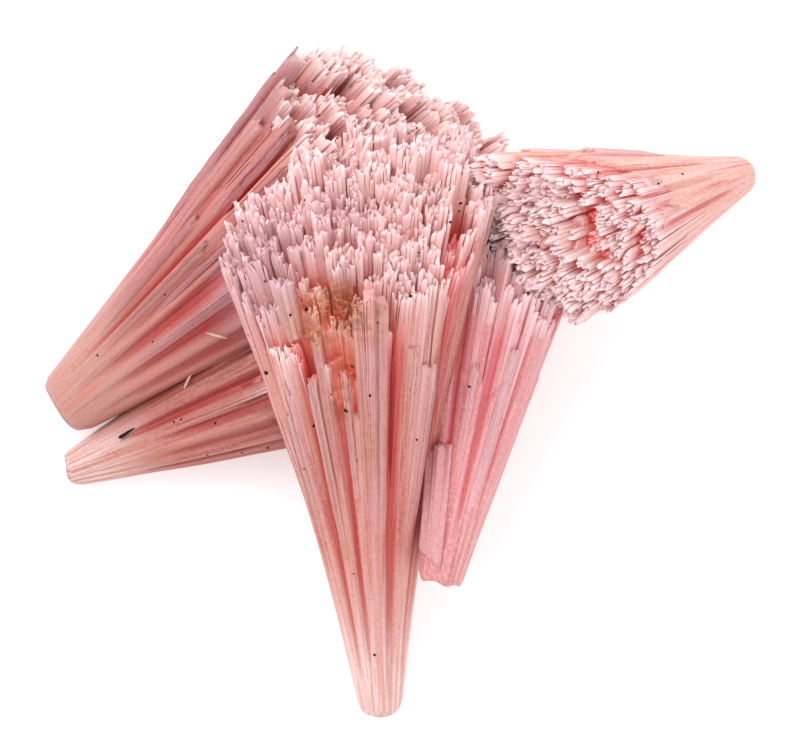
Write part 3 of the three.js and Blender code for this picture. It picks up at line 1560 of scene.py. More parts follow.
@dataclass(frozen=True)
class Growth:
    """What the crystals of all sheaves have in common. Pairs are a least and a most.

    Args:
        outer: how far from the middle a crystal's outline reaches when it shows in the flank.
        upper: the rise above which outer laths may be broken off short.
        step_range: of the ends' steps, in spreads.
        lath_below: how far below its own top a lath ends, in millimetres.
        lath_start: how far before the flank's end an outer lath starts, in shares of the length.
        inner_start: the same for an inner lath.
        least_lath: the shortest lath, in shares of the length.
        lath_sunk: how far laths usually lie inside their place, in shares of the radius.
        lath_proud: how far they stand out at most.
        swing: spread of how far laths wander off their line, in shares of the radius.
        swing_rate: how fast they wander, in radians over the whole length.
        swing_phase: from which phase, in radians.
        blade_above: how far above its lath's end a blade's needles usually end, in millimetres.
        fused_needles: how far needles that end together stand above their blade.
        free_needles: how far other needles stand above it.
        blade_lift: how far blades lie in or out of their lath, in shares of the radius.
        blade_start: where an outer blade starts, in shares of the flank's end.
        inner_blade: length of an inner blade, in millimetres.
        ripe: the share of the length at which the area of needles is measured.
        most_needles: how many needles a blade has at most.
        fused_step: spread of the ends of needles that end together, in millimetres.
        needle_lift: how far needles lie in or out of their blade, in shares of the radius.
        outer_needle: how far below its blade's end an outer needle starts, in millimetres.
        inner_needle: the same for an inner needle.
        lath_edge: the shortest edge of a lath's outline, in shares of the radius.
        blade_edge: that of a blade's.
        needle_edge: that of a needle's.
        sliver: the part of its due area that a crystal needs to be kept.
    """

    outer: float = 0.75
    upper: float = 0.3
    step_range: tuple[float, float] = (-2, 0.9)
    lath_below: tuple[float, float] = (1.5, 3)
    lath_start: tuple[float, float] = (0.15, 0.4)
    inner_start: float = 0.1
    least_lath: float = 0.05
    lath_sunk: float = 0.02
    lath_proud: float = 0.02
    swing: float = 0.012
    swing_rate: tuple[float, float] = (4, 8)
    swing_phase: tuple[float, float] = (0, 6)
    blade_above: float = 2.2
    fused_needles: tuple[float, float] = (0.3, 0.9)
    free_needles: tuple[float, float] = (0.8, 2.6)
    blade_lift: tuple[float, float] = (-0.02, 0.02)
    blade_start: tuple[float, float] = (0.5, 0.72)
    inner_blade: float = 6
    ripe: float = 0.95
    most_needles: int = 12
    fused_step: float = 0.12
    needle_lift: tuple[float, float] = (-0.006, 0.014)
    outer_needle: tuple[float, float] = (5, 11)
    inner_needle: float = 1
    lath_edge: float = 0.02
    blade_edge: float = 0.012
    needle_edge: float = 0.004
    sliver: float = 0.15


GROWTH = Growth()
LATH = Sweep(
    rings=10, sunk=0.08, emerge=0.5, width=0.995, rounding=0.5, chip=0.2, tip_scale=0.9,
    slope=0.45, rough=0.15, fresh=6.0,
)
BLADE = Sweep(
    rings=8, sunk=0.03, emerge=0.35, width=1.0, rounding=0.4, chip=0.15, tip_scale=0.88,
    slope=0.3, rough=0.1, fresh=2.0,
)
NEEDLE = Sweep(
    rings=4, sunk=0.012, emerge=0.4, width=1.03, rounding=0.1, chip=0.1, tip_scale=0.82,
    slope=0.18, rough=0.09,
)
# Corners of the whole section.
RIM_CORNERS = 48
# Where neighbours meet: how many places along each crystal are looked at, how much deeper in a
# neighbour than in its own sheaf one has to lie to be cut, and the height below which it is cut,
# in millimetres.
CHECKS_ALONG = 13
OVERLAP = 0.35
LOWEST = -0.6


def shows(cell: np.ndarray) -> bool:
    """Whether a cell lies far enough out for its crystal to show in the flank."""
    return bool(np.linalg.norm(cell, axis=1).max() > GROWTH.outer)


def split(cell: np.ndarray, count: int, rng: np.random.Generator) -> list[np.ndarray]:
    """Splits a cell, leaving out slivers.

    Args:
        cell: its outline in the section.
        count: about how many cells it splits into.
        rng: the source of chance.

    Returns:
        The outlines of the new cells.
    """
    if count < 2:
        return [cell]
    parts = tile(cell, seeds_within(cell, count, rng))
    least = GROWTH.sliver * area_of(cell) / count
    return [part for part in parts if len(part) >= FEWEST_CORNERS and area_of(part) > least]


@dataclass
class Sheaf:
    """A sheaf of crystals that fans out from its root and ends in a jagged head.

    Args:
        name: the piece's name.
        shape: its form.
        habit: how it divides and breaks.
        relief: the folds of its flank.
        flank: the sizes of the flank.
        finish: its finish.
        seed: the number that its chance comes from.
        plates: broken plates that lie along its flank.
        holes: small places where single blades are broken out.
    """

    name: str
    shape: SheafShape
    habit: Habit
    relief: Relief
    flank: Flank
    finish: Finish
    seed: int
    plates: tuple[Plate, ...] = ()
    holes: tuple[Notch, ...] = ()

    def build(self, neighbours: list["Sheaf"]) -> list[bpy.types.Object]:
        """Models the sheaf and dresses it.

        Args:
            neighbours: the other sheaves, where this one's crystals stop.

        Returns:
            The grown-together sheaf, and the needles of its head.
        """
        rng = np.random.default_rng(self.seed)
        laths, blades, needles = self._divide(rng)
        stem, crown = Skin(), Skin()
        stem.wrap(self.shape, self.flank, rng)
        for plate in self.plates:
            stem.lay(plate, self.shape, rng)
        for skin, crystals, how in (
            (stem, laths, LATH),
            (stem, blades, BLADE),
            (crown, needles, NEEDLE),
        ):
            free = self._outside(crystals, neighbours)
            skin.sweep(free, how, self.shape.length, rng)
            log.info("%s: %d of %d crystals", self.name, len(free), len(crystals))
        material = self.finish.value.material()
        pieces = []
        for name, skin in ((self.name, stem), (f"{self.name}_needles", crown)):
            mesh = skin.mesh(name, self.shape, self.relief)
            mesh.materials.append(material)
            pieces.append(put_in_scene(name, mesh))
        return pieces

    def _divide(
        self, rng: np.random.Generator
    ) -> tuple[list[Crystal], list[Crystal], list[Crystal]]:
        """Divides the section into laths, blades and needles.

        Args:
            rng: the source of chance.

        Returns:
            The laths, the blades and the needles.
        """
        turns = np.linspace(0, 2 * math.pi, RIM_CORNERS, endpoint=False)
        rim = np.stack([np.cos(turns), np.sin(turns)], axis=1)
        laths, blades, needles = [], [], []
        for cell in tile(rim, round_seeds(self.habit.laths, rng)):
            if len(cell) < FEWEST_CORNERS:
                continue
            lath = self._lath(cell, rng)
            laths.append(lath)
            for part in split(cell, self.habit.blades, rng):
                blade, points = self._blade(part, lath, rng)
                blades.append(blade)
                needles += points
        return laths, blades, needles

    def _lath(self, cell: np.ndarray, rng: np.random.Generator) -> Crystal:
        """The lath that fills a cell, from inside the flank to where it splits into blades.

        Args:
            cell: its outline in the section.
            rng: the source of chance.

        Returns:
            The lath.
        """
        habit, shape, common = self.habit, self.shape, GROWTH
        centre = cell.mean(0)
        outer = shows(cell)
        above = habit.above if outer else 0
        step = above + habit.lath_step * np.clip(rng.normal(), *common.step_range)
        top = float(shape.head(*centre)) + step / shape.length
        if outer and centre[1] > common.upper and rng.random() < habit.short:
            top -= rng.uniform(*habit.short_by) / shape.length
        for notch in shape.notches:
            if notch.holds(*centre):
                top = min(top, notch.floor)
        tip = top - rng.uniform(*common.lath_below) / shape.length
        start = self.flank.end - (rng.uniform(*common.lath_start) if outer else common.inner_start)
        swing = rng.normal(0, common.swing, 2)
        outline = without_short_edges(cell - centre, common.lath_edge)
        proud = rng.normal(-common.lath_sunk, habit.sunk)
        return Crystal(
            outline=with_bends(outline, 2 if outer else 1),
            centre=centre,
            proud=float(np.clip(proud, -3 * habit.sunk, common.lath_proud)),
            start=min(start, tip - common.least_lath),
            tip=tip,
            tone=rng.random(),
            lath_tone=rng.random(),
            sway=(*swing, rng.uniform(*common.swing_rate), rng.uniform(*common.swing_phase)),
        )

    def _blade(
        self, cell: np.ndarray, lath: Crystal, rng: np.random.Generator
    ) -> tuple[Crystal, list[Crystal]]:
        """A blade of a lath, and the needles that stand on it.

        Args:
            cell: the blade's outline in the section.
            lath: the lath that it belongs to.
            rng: the source of chance.

        Returns:
            The blade and its needles.
        """
        habit, shape, common = self.habit, self.shape, GROWTH
        length = shape.length
        centre = cell.mean(0)
        domed = float(shape.head(*centre)) - float(shape.head(*lath.centre))
        step = habit.blade_step * np.clip(rng.normal(), *common.step_range)
        top = lath.tip + domed + (common.blade_above + step) / length
        if rng.random() < habit.pits:
            top -= rng.uniform(*habit.pit_depth) / length
        for hole in self.holes:
            if hole.holds(*centre):
                top = min(top, hole.floor)
        outer = shows(cell)
        fused = rng.random() < habit.fused
        end = top - rng.uniform(*(common.fused_needles if fused else common.free_needles)) / length
        proud = lath.proud + float(rng.uniform(*common.blade_lift))
        if outer:
            start = self.flank.end * rng.uniform(*common.blade_start)
        else:
            start = end - common.inner_blade / length
        blade = Crystal(
            outline=without_short_edges(cell - centre, common.blade_edge),
            centre=centre,
            proud=proud,
            start=start,
            tip=end,
            tone=rng.random(),
            lath_tone=lath.lath_tone,
            sway=lath.sway,
        )
        width, depth = shape.radii(np.array(common.ripe))
        due = area_of(cell) * width * depth / habit.needle_area
        spread = common.fused_step if fused else habit.needle_step
        needles = []
        for part in split(cell, int(np.clip(due, 1, common.most_needles)), rng):
            middle = part.mean(0)
            ridges = (part + np.roll(part, -1, 0)) / 2 - middle
            outline = 0.5 * ridges + 0.5 * (part - middle)
            step = rng.normal(0, spread) / length
            lift = float(rng.uniform(*common.needle_lift))
            run = rng.uniform(*common.outer_needle) if outer else common.inner_needle
            needle = Crystal(
                outline=without_short_edges(outline, common.needle_edge),
                centre=middle,
                proud=proud + lift,
                start=end - run / length,
                tip=top + step,
                tone=rng.random(),
                lath_tone=lath.lath_tone,
                sway=lath.sway,
            )
            needles.append(needle)
        return blade, needles

    def _outside(self, crystals: list[Crystal], neighbours: list["Sheaf"]) -> list[Crystal]:
        """The crystals without what lies deeper in a neighbour than in their own sheaf.

        Args:
            crystals: crystals of this sheaf.
            neighbours: the other sheaves.

        Returns:
            Those that are left, cut short where a neighbour takes over.
        """
        steps = np.linspace(0, 1, CHECKS_ALONG)
        centres = np.array([c.centre * (1 + c.proud) for c in crystals])[:, None]
        centres = centres.repeat(len(steps), 1)
        starts = np.array([c.start for c in crystals])
        tips = np.array([c.tip for c in crystals])
        shares = starts[:, None] + (tips - starts)[:, None] * steps
        growth = np.concatenate([centres, shares[..., None]], axis=-1)
        points = self.shape.place(growth)
        own = self.shape.buried(growth)
        hidden = points[..., 2] < LOWEST
        for other in neighbours:
            deeper = other.shape.buried(other.shape.locate(points))
            hidden |= (deeper > own + OVERLAP) & (deeper > OVERLAP)
        free = []
        for crystal, row, out in zip(crystals, shares, ~hidden):
            if not out.any():
                continue
            first = int(out.argmax())
            rest = out[first:]
            last = first + (len(rest) if rest.all() else int((~rest).argmax())) - 1
            if last > first:
                free.append(replace(crystal, start=float(row[first]), tip=float(row[last])))
        return free


# --- grains and blades


class Surface:
    """The crystals' outer surface, for laying small pieces on it."""

    def __init__(self, pieces: list[bpy.types.Object]) -> None:
        """Reads the pieces' meshes."""
        points, faces, count = [], [], 0
        for piece in pieces:
            mesh = piece.data
            points += [v.co.copy() for v in mesh.vertices]
            faces += [[count + i for i in p.vertices] for p in mesh.polygons]
            count += len(mesh.vertices)
        self.tree = BVHTree.FromPolygons(points, faces)

    def below(self, x: float, y: float) -> tuple[Vector, Vector]:
        """The highest point of the surface at a place in plan.

        Args:
            x: the place along X, in millimetres.
            y: the place along Y.

        Returns:
            The point in metres and the surface's normal there.
        """
        place, normal, _, _ = self.tree.ray_cast(Vector((x * MM, y * MM, 1)), Vector((0, 0, -1)))
        if place is None:
            return Vector((x * MM, y * MM, 0)), Vector((0, 0, 1))
        return place, normal


def piece_from(
    name: str, shape: bmesh.types.BMesh, material: bpy.types.Material
) -> bpy.types.Object:
    """Turns a bmesh into a piece at the origin.

    Args:
        name: the piece's name.
        shape: the bmesh, in metres, which is used up.
        material: its material.

    Returns:
        The piece.
    """
    bmesh.ops.recalc_face_normals(shape, faces=shape.faces)
    mesh = bpy.data.meshes.new(name)
    shape.to_mesh(mesh)
    shape.free()
    mesh.materials.append(material)
    return put_in_scene(name, mesh)


@dataclass
class Specks:
    """Tiny dark grains that lie on the crystals.

    Args:
        places: for each grain its place along X and along Y and its size, in millimetres.
        seed: the number that their chance comes from.
        rough: how uneven they are, in shares of their size.
        stretch: least and most that they are stretched.
        sunk: how deep they sit in the surface, in shares of their size.
    """

    places: tuple[tuple[float, float, float], ...]
    seed: int = 4
    rough: float = 0.3
    stretch: tuple[float, float] = (0.7, 1.5)
    sunk: float = 0.1

    def build(self, surface: Surface, material: bpy.types.Material) -> bpy.types.Object:
        """Models the grains.

        Args:
            surface: what they lie on.
            material: their material.

        Returns:
            The piece.
        """
        rng = np.random.default_rng(self.seed)
        shape = bmesh.new()
        for x, y, size in self.places:
            spot, normal = surface.below(x, y)
            made = bmesh.ops.create_icosphere(shape, subdivisions=1, radius=size * MM / 2)
            for vertex in made["verts"]:
                vertex.co *= 1 + rng.uniform(-self.rough, self.rough)
            stretch = Matrix.Diagonal((*rng.uniform(*self.stretch, 3), 1))
            turn = Matrix.Rotation(rng.uniform(0, math.pi), 4, Vector(rng.normal(size=3)))
            place = Matrix.Translation(spot - normal * size * MM * self.sunk)
            bmesh.ops.transform(shape, matrix=place @ turn @ stretch, verts=made["verts"])
        return piece_from("dark_specks", shape, material)


# A loose blade fills these shares of its solid's length, width and thickness.
BLADE_FILL = (0.94, 0.8, 0.8)
BLADE_CUTS = 5
BLADE_BEVEL = 0.12
# In shares of its length, a blade starts to narrow this far from its middle, over this run.
SLIM_FROM = 0.2
SLIM_RUN = 0.3
# How far a blade bends to its sides and how rough it is, in shares of its sizes.
BLADE_BEND = 0.08
BLADE_BEND_RATE = 5
BLADE_ROUGH = 0.02


@dataclass(frozen=True)
class Blade:
    """One loose blade, with the solid model's own numbers.

    Args:
        node: the solid that it stands for.
        length: its length in millimetres.
        width: its width.
        thickness: its thickness.
        place: its middle.
        heading: direction in plan, in degrees.
        tilt: climb, in degrees.
        points: how much its ends narrow, from 0 to 1.
        wedge: how much it narrows from its lower end to its upper end.
    """

    node: str
    length: float
    width: float
    thickness: float
    place: tuple[float, float, float]
    heading: float
    tilt: float
    points: float
    wedge: float = 0.0

    def build(self, material: bpy.types.Material, seed: int) -> bpy.types.Object:
        """Models the blade inside its solid's size.

        Args:
            material: its material.
            seed: the number that its unevenness comes from.

        Returns:
            The piece.
        """
        rng = np.random.default_rng(seed)
        shape = bmesh.new()
        bmesh.ops.create_cube(shape, size=1)
        long = [e for e in shape.edges if abs(e.verts[0].co.x - e.verts[1].co.x) > 0.5]
        bmesh.ops.subdivide_edges(shape, edges=long, cuts=BLADE_CUTS, use_grid_fill=True)
        bmesh.ops.bevel(
            shape,
            geom=shape.edges[:],
            offset=BLADE_BEVEL,
            segments=1,
            affect="EDGES",
            profile=0.5,
            material=-1,
        )
        for vertex in shape.verts:
            run = vertex.co.x
            slim = 1 - self.points * max(0, abs(run) - SLIM_FROM) / SLIM_RUN
            slim *= 1 - self.wedge * (run + 0.5)
            vertex.co.y *= slim
            vertex.co.z *= slim
            vertex.co.y += BLADE_BEND * math.sin(BLADE_BEND_RATE * run + seed)
            vertex.co += Vector(rng.uniform(-BLADE_ROUGH, BLADE_ROUGH, 3))
        sizes = (self.length, self.width, self.thickness)
        size = Matrix.Diagonal((*(a * b for a, b in zip(sizes, BLADE_FILL)), 1))
        lift = Matrix.Rotation(-math.radians(self.tilt), 4, "Y")
        turn = Matrix.Rotation(math.radians(self.heading), 4, "Z")
        place = Matrix.Translation(self.place)
        matrix = Matrix.Scale(MM, 4) @ place @ turn @ lift @ size
        bmesh.ops.transform(shape, matrix=matrix, verts=shape.verts)
        return piece_from(f"{self.node}_look", shape, material)


# --- studio


@dataclass(frozen=True)
class SoftBox:
    """A large soft lamp.

    Args:
        name: its name.
        azimuth: the side that it stands on, in degrees from +X towards +Y.
        elevation: how high, in degrees.
        distance: how far off, in metres.
        size: its width in metres.
        power: its power in watts.
        colour: its colour.
    """

    name: str
    azimuth: float
    elevation: float
    distance: float
    size: float
    power: float
    colour: Colour

    def build(self) -> None:
        """Hangs the lamp, facing the specimen."""
        lamp = bpy.data.lights.new(self.name, "AREA")
        lamp.size = self.size
        lamp.energy = self.power
        lamp.color = self.colour
        away = Vector(direction(self.azimuth, self.elevation))
        light = put_in_scene(self.name, lamp)
        light.location = away * self.distance
        light.rotation_euler = away.to_track_quat("Z", "Y").to_euler()


@dataclass
class Studio:
    """A white table under soft light, seen from straight above.

    Args:
        eye: the camera's place, in millimetres.
        lens: its focal length in millimetres.
        sensor: the width of its picture plane in millimetres.
        lamps: the lamps.
        sky: strength of the light from all round.
        sky_colour: its colour.
        table_half: half the table's width, in metres.
        table_drop: how far the table's top lies below the specimen, in metres.
        table_colour: the table's colour.
        table_glow: strength of the light that the table gives off.
    """

    eye: tuple[float, float, float] = (-0.04, 0.08, 548.3)
    lens: float = 300.0
    sensor: float = 36.0
    lamps: tuple[SoftBox, ...] = (
        SoftBox("key", 130, 52, 0.5, 0.4, 1.5, (1.0, 0.99, 0.99)),
        SoftBox("fill", -40, 40, 0.6, 0.5, 0.5, (1.0, 0.95, 0.93)),
    )
    sky: float = 0.95
    sky_colour: Colour = (0.97, 0.98, 1.0)
    table_half: float = 3.0
    table_drop: float = 0.00002
    table_colour: Colour = (0.86, 0.86, 0.86)
    table_glow: float = 0.32

    def build(self) -> None:
        """Sets up the table, the lamps, the sky and the camera."""
        self._table()
        for lamp in self.lamps:
            lamp.build()
        world = bpy.data.worlds.new("soft_sky")
        world.use_nodes = True
        background = world.node_tree.nodes["Background"]
        background.inputs["Color"].default_value = (*self.sky_colour, 1.0)
        background.inputs["Strength"].default_value = self.sky
        bpy.context.scene.world = world
        camera = bpy.data.cameras.new("camera")
        camera.lens = self.lens
        camera.sensor_width = self.sensor
        camera.clip_start = 0.01
        eye = put_in_scene("camera", camera)
        eye.location = Vector(self.eye) * MM
        bpy.context.scene.camera = eye
        bpy.context.scene.view_settings.view_transform = "Standard"

    def _table(self) -> None:
        """Lays the table's top a hair below the specimen."""
        material = bpy.data.materials.new("white_table")
        graph = Graph(material)
        graph.surface(
            {
                "Base Color": (*self.table_colour, 1.0),
                "Roughness": 0.9,
                "Emission Color": (1.0, 1.0, 1.0, 1.0),
                "Emission Strength": self.table_glow,
            }
        )
        shape = bmesh.new()
        bmesh.ops.create_grid(shape, x_segments=1, y_segments=1, size=self.table_half)
        bmesh.ops.translate(shape, vec=(0, 0, -self.table_drop), verts=shape.verts)
        piece_from("table_top", shape, material)


# --- specimen


# A fold's numbers are its angle, depth, half width, start, end and skew. A plate's are its angle,
# half width, out, start, tip, narrows, slants, bare and fresh. A notch's are its side, rise, half
# side, half rise and floor.
FRONT_SHEAF = Sheaf(
    "front_sheaf",
    SheafShape(
        root=(-1.65, -26.9, 1.5), heading=93.2, tilt=27, length=49.0,
        root_width=1.75, root_depth=1.8, head_width=12.0, head_depth=10.6,
        flare=0.66, dome=0.11, slant=0.06, lean=0.13,
        notches=(
            Notch(0.27, 0.95, 0.2, 0.2, 0.77),
            Notch(0.27, 0.8, 0.19, 0.15, 0.8),
            Notch(0.25, 0.66, 0.15, 0.12, 0.84),
        ),
    ),
    Habit(laths=100, blades=4, needle_area=0.095, lath_step=0.7),
    Relief(
        (
            Fold(24, 0.06, 3, 0.1, 0.9, 2),
            Fold(51, 0.13, 3, 0.0, 0.85, 1.6),
            Fold(75, 0.12, 3, -0.02, 0.86, 1.5),
            Fold(86, 0.13, 2, 0.4, 0.86),
            Fold(112, 0.15, 5, -0.06, 0.95, 1.3),
            Fold(145, 0.14, 4, -0.04, 0.95, 2),
            Fold(92, -0.03, 6, -0.05, 0.78),
            Fold(130, -0.03, 5, -0.05, 0.7),
            Fold(36, -0.03, 5, 0.05, 0.7),
        ),
        seed=21,
    ),
    Flank(end=0.6),
    Finish.FRONT,
    seed=11,
    plates=(
        Plate(62, 3.5, 0.04, 0.25, 0.69, 0.8),
        Plate(69, 2.5, 0.03, 0.4, 0.785, 0.8),
        Plate(57.5, 3.4, 0.05, 0.765, 0.865, 0.9, (0.006, 0.01), True, 0.6),
        Plate(90.5, 3, 0.03, 0.28, 0.835, 0.85),
        Plate(96, 3, 0.042, 0.3, 0.862, 0.9),
        Plate(102, 3, 0.03, 0.28, 0.845, 0.9),
        Plate(131, 7, 0.045, 0.25, 0.69, 0.75),
        Plate(36, 4, 0.03, 0.24, 0.6, 0.6),
        Plate(81, 2.5, 0.03, 0.4, 0.7, 0.8),
        Plate(43, 2.5, 0.03, 0.35, 0.66, 0.8),
        Plate(120, 3, 0.03, 0.5, 0.74, 0.8),
    ),
)
LOWER_RIGHT_SHEAF = Sheaf(
    "lower_right_sheaf",
    SheafShape(
        root=(3.2, -16.3, 11.2), heading=79.2, tilt=6, length=30.0,
        root_width=1.75, root_depth=1.6, head_width=6.9, head_depth=6.0,
        flare=0.85, dome=0.1, slant=-0.08, lean=0.12,
    ),
    Habit(laths=40, blades=4),
    Relief(
        (
            Fold(64, 0.1, 4, 0.08, 0.95, 1.5),
            Fold(100, 0.09, 4, 0.05, 0.9, 2),
            Fold(45, 0.05, 3, 0.1, 0.9),
            Fold(22, 0.14, 6, 0.06, 0.95, 1.2),
            Fold(134, 0.07, 4, 0.12, 0.9),
        ),
        seed=22,
        furrows=6,
        ribs=24,
    ),
    Flank(end=0.72),
    Finish.LOWER_RIGHT,
    seed=12,
    plates=(
        Plate(53, 31, 0.13, 0.062, 0.37, 0.62, (-0.018, 0.02), True, 30),
        Plate(84, 6, 0.04, 0.2, 0.6, 0.6),
        Plate(117, 7, 0.04, 0.15, 0.66, 0.6),
    ),
)
UPPER_LEFT_SHEAF = Sheaf(
    "upper_left_sheaf",
    SheafShape(
        root=(-27.55, -2.3, 2.5), heading=38.9, tilt=13.2, length=39.6,
        root_width=2.6, root_depth=2.4, head_width=11.8, head_depth=12.4,
        flare=0.94, dome=0.12, slant=0.08, lean=0.08,
    ),
    Habit(
        laths=110,
        blades=3,
        needle_area=0.15,
        lath_step=0.8,
        blade_step=0.45,
        needle_step=0.2,
        fused=0.45,
        short=0.3,
        short_by=(1.0, 7.0),
        above=0.6,
    ),
    Relief(
        (
            Fold(25, 0.05, 4, 0.2, 0.8),
            Fold(60, 0.13, 4, 0.04, 0.9, 0.5),
            Fold(76, 0.06, 3, 0.12, 0.8),
            Fold(90, 0.13, 4, 0.02, 0.9, 1.8),
            Fold(114, 0.14, 4, 0.05, 0.95, 1.6),
            Fold(140, 0.16, 5, 0.03, 0.95, 1.6),
            Fold(165, 0.05, 5, 0.1, 0.95),
            Fold(66, -0.03, 5, 0.05, 0.75),
            Fold(84, -0.03, 4, 0.1, 0.62),
            Fold(106, -0.03, 5, 0.05, 0.8),
        ),
        seed=23,
        depth=0.12,
    ),
    Flank(end=0.78, below=0.08),
    Finish.UPPER_LEFT,
    seed=13,
    plates=(
        Plate(30, 1.5, 0.03, 0.5, 0.885, 0.85, fresh=0.8),
        Plate(36, 1.8, 0.03, 0.5, 0.83, 0.85, fresh=0.8),
        Plate(69, 3.5, 0.04, 0.12, 0.49, 0.7),
        Plate(78, 3, 0.035, 0.25, 0.61, 0.7),
        Plate(49, 4, 0.04, 0.12, 0.51, 0.7),
        Plate(38, 5, 0.035, 0.35, 0.74, 0.8),
        Plate(18, 4, 0.03, 0.3, 0.8, 0.85),
        Plate(24, 2.8, 0.04, 0.4, 0.84, 0.85),
        Plate(102, 4, 0.035, 0.15, 0.6, 0.7),
        Plate(56, 3, 0.04, 0.5, 0.8, 0.8),
        Plate(72, 3, 0.04, 0.5, 0.76, 0.8),
    ),
    holes=(Notch(0.62, -0.32, 0.09, 0.13, 0.926),),
)
LOWER_LEFT_SHEAF = Sheaf(
    "lower_left_sheaf",
    SheafShape(
        root=(-27.1, -7.45, 1.6), heading=21.3, tilt=10, length=31.0,
        root_width=1.4, root_depth=1.4, head_width=6.6, head_depth=6.4,
        flare=1.5, dome=0.12, slant=0, lean=0.04,
    ),
    Habit(laths=36, blades=4, fused=0.6, short=0.1),
    Relief(
        (
            Fold(28, 0.04, 5, 0.1, 0.95),
            Fold(54, -0.03, 7, 0.05, 0.9),
            Fold(71, 0.17, 4, 0.1, 0.95, 2),
            Fold(98, 0.11, 4, 0.2, 0.95, 1.5),
            Fold(123, 0.09, 5, 0.15, 0.95, 1.5),
            Fold(174, 0.16, 18, 0.0, 1.3),
        ),
        seed=24,
        furrows=6,
        ribs=24,
        depth=0.13,
    ),
    Flank(end=0.8),
    Finish.LOWER_LEFT,
    seed=14,
)
RIGHT_SHEAF = Sheaf(
    "right_sheaf",
    SheafShape(
        root=(28.1, 16.85, 0.95), heading=201.0, tilt=45, length=27.2,
        root_width=1.5, root_depth=1.5, head_width=8.1, head_depth=7.8,
        flare=0.97, dome=0.15, slant=0.07, lean=0.18,
        spur=0.16,
    ),
    Habit(
        laths=64,
        blades=5,
        needle_area=0.09,
        lath_step=0.4,
        blade_step=0.35,
        needle_step=0.24,
        fused=0.2,
        short=0.1,
        short_by=(0.8, 2.2),
        pits=0.14,
        pit_depth=(0.8, 2.0),
        above=0.0,
    ),
    Relief(seed=25, furrows=7, ribs=30, depth=0.06, height=0.02),
    Flank(end=0.92, below=0.06),
    Finish.RIGHT,
    seed=15,
    plates=(
        Plate(177, 9, 0.015, 0.25, 0.8, 0.7),
        Plate(160, 7, 0.05, 0.3, 0.7, 0.7, (0, 0.02)),
        Plate(168, 5, 0.035, 0.4, 0.93, 0.8),
    ),
    holes=(
        Notch(-0.13, 0.5, 0.13, 0.12, 0.79),
        Notch(0.14, 0.36, 0.11, 0.1, 0.82),
        Notch(0.38, 0.42, 0.08, 0.08, 0.78),
        Notch(0.28, 0.22, 0.09, 0.08, 0.84),
        Notch(-0.04, 0.12, 0.12, 0.08, 0.9),
        Notch(0.0, -0.3, 0.1, 0.08, 0.9),
    ),
)
SHEAVES = (FRONT_SHEAF, LOWER_RIGHT_SHEAF, UPPER_LEFT_SHEAF, LOWER_LEFT_SHEAF, RIGHT_SHEAF)

BLADES = (
    Blade("dark_sliver", 1.6, 0.4, 0.3, (-22.3, -4.4, 5.3), 30, 12, 0.2, 0.6),
    Blade("pale_splinter_upper", 1.9, 0.26, 0.2, (-14.8, 3.5, 11.05), 164, 10, 0.7),
    Blade("pale_splinter_lower", 1.5, 0.26, 0.2, (-17.3, -0.2, 6.9), 65, 20, 0.7),
)

DARK_MINERAL = GrainFinish(
    "dark_mineral_grain",
    light=linear("241c1a"),
    dark=linear("080606"),
    roughness=0.6,
    scale=3000,
    shine=0.12,
)
PALE_CRYSTAL = GrainFinish(
    "pale_crystal_blade",
    light=linear("f6ccc2"),
    dark=linear("e8a99c"),
    roughness=0.4,
    scale=2500,
    glow=0.3,
)

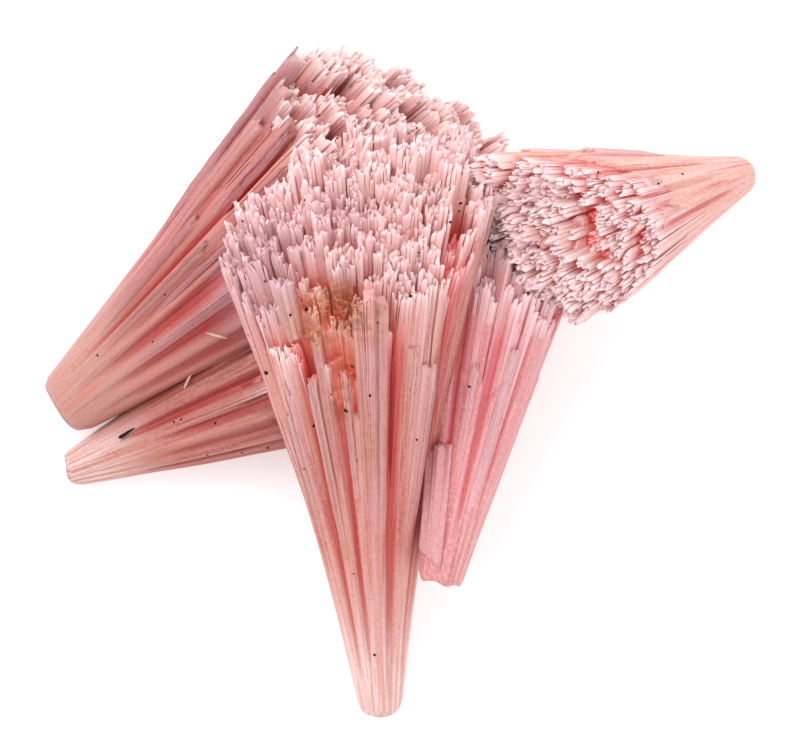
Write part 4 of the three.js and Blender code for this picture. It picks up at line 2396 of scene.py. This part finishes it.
# The place of each dark grain along X and along Y and its size, in millimetres.
SPECKS = (
    (-7.4, 5.5, 0.3), (-8.6, 5.0, 0.2), (-8.6, 2.6, 0.2), (-6.9, -3.7, 0.28),
    (-7.7, -7.2, 0.2), (-5.5, -1.2, 0.2), (-3.8, 1.0, 0.24), (-2.4, -1.3, 0.2),
    (-1.8, 4.4, 0.2), (-4.3, -2.5, 0.28), (0.8, 6.5, 0.26), (1.3, -4.8, 0.2),
    (5.5, -0.6, 0.22), (-3.5, -6.5, 0.15), (-2.1, -22.4, 0.2), (-3.8, -15.7, 0.17),
    (-19.0, 6.8, 0.17), (-20.0, 3.0, 0.17), (-24.6, 1.9, 0.2), (-15.0, -3.6, 0.24),
    (-15.7, -6.2, 0.2), (-12.9, -6.0, 0.17), (-10.8, -5.6, 0.2), (-18.4, -3.5, 0.2),
    (-17.8, -3.3, 0.2), (-10.7, 0.5, 0.42), (-12.1, 3.5, 0.17), (-10.7, 7.7, 0.17),
    (-12.5, 12.5, 0.17), (1.3, 20.0, 0.24), (4.7, 13.8, 0.24), (4.6, 13.2, 0.22),
    (3.9, 12.3, 0.2), (1.5, 9.9, 0.2), (-0.8, 9.1, 0.2), (-7.5, 14.1, 0.17),
    (-8.9, 23.2, 0.2), (7.1, 10.4, 0.5), (7.3, 10.9, 0.22), (6.9, 9.8, 0.2),
    (15.7, 16.4, 0.26), (22.7, 16.5, 0.26), (20.6, 15.6, 0.24), (10.9, 10.4, 0.24),
)


@dataclass
class Specimen:
    """The whole cluster.

    Args:
        sheaves: the sheaves that grew through one another.
        blades: the loose blades that lie on them.
        specks: the dark grains.
    """

    sheaves: tuple[Sheaf, ...] = SHEAVES
    blades: tuple[Blade, ...] = BLADES
    specks: Specks = field(default_factory=lambda: Specks(SPECKS))

    def build(self) -> None:
        """Builds every piece and ties it to the frame."""
        self._build_loose(Surface(self._build_sheaves()))

    def _build_sheaves(self) -> list[bpy.types.Object]:
        """Builds the sheaves.

        Returns:
            Their pieces.
        """
        pieces = []
        for sheaf in self.sheaves:
            for piece in sheaf.build([s for s in self.sheaves if s is not sheaf]):
                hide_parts("sheaf_cluster")
                pieces.append(self._tie(piece))
        return pieces

    def _build_loose(self, surface: Surface) -> None:
        """Builds the loose blades and the grains.

        Args:
            surface: the crystals' surface, which the grains lie on.
        """
        dark, pale = DARK_MINERAL.material(), PALE_CRYSTAL.material()
        for seed, blade in enumerate(self.blades):
            is_dark = blade.node == "dark_sliver"
            piece = blade.build(dark if is_dark else pale, seed)
            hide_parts(blade.node)
            self._tie(piece)
        self._tie(self.specks.build(surface, dark))

    def _tie(self, piece: bpy.types.Object) -> bpy.types.Object:
        """Makes a piece ride on the body and reports it."""
        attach(piece, BODY)
        triangles = sum(len(p.vertices) - 2 for p in piece.data.polygons)
        log.info("%s: %d triangles", piece.name, triangles)
        return piece


def main() -> None:
    """Builds the specimen, then the studio round it."""
    logging.basicConfig(level=logging.INFO, format="%(message)s")
    Specimen().build()
    Studio().build()


if __name__ == "__main__":
    main()
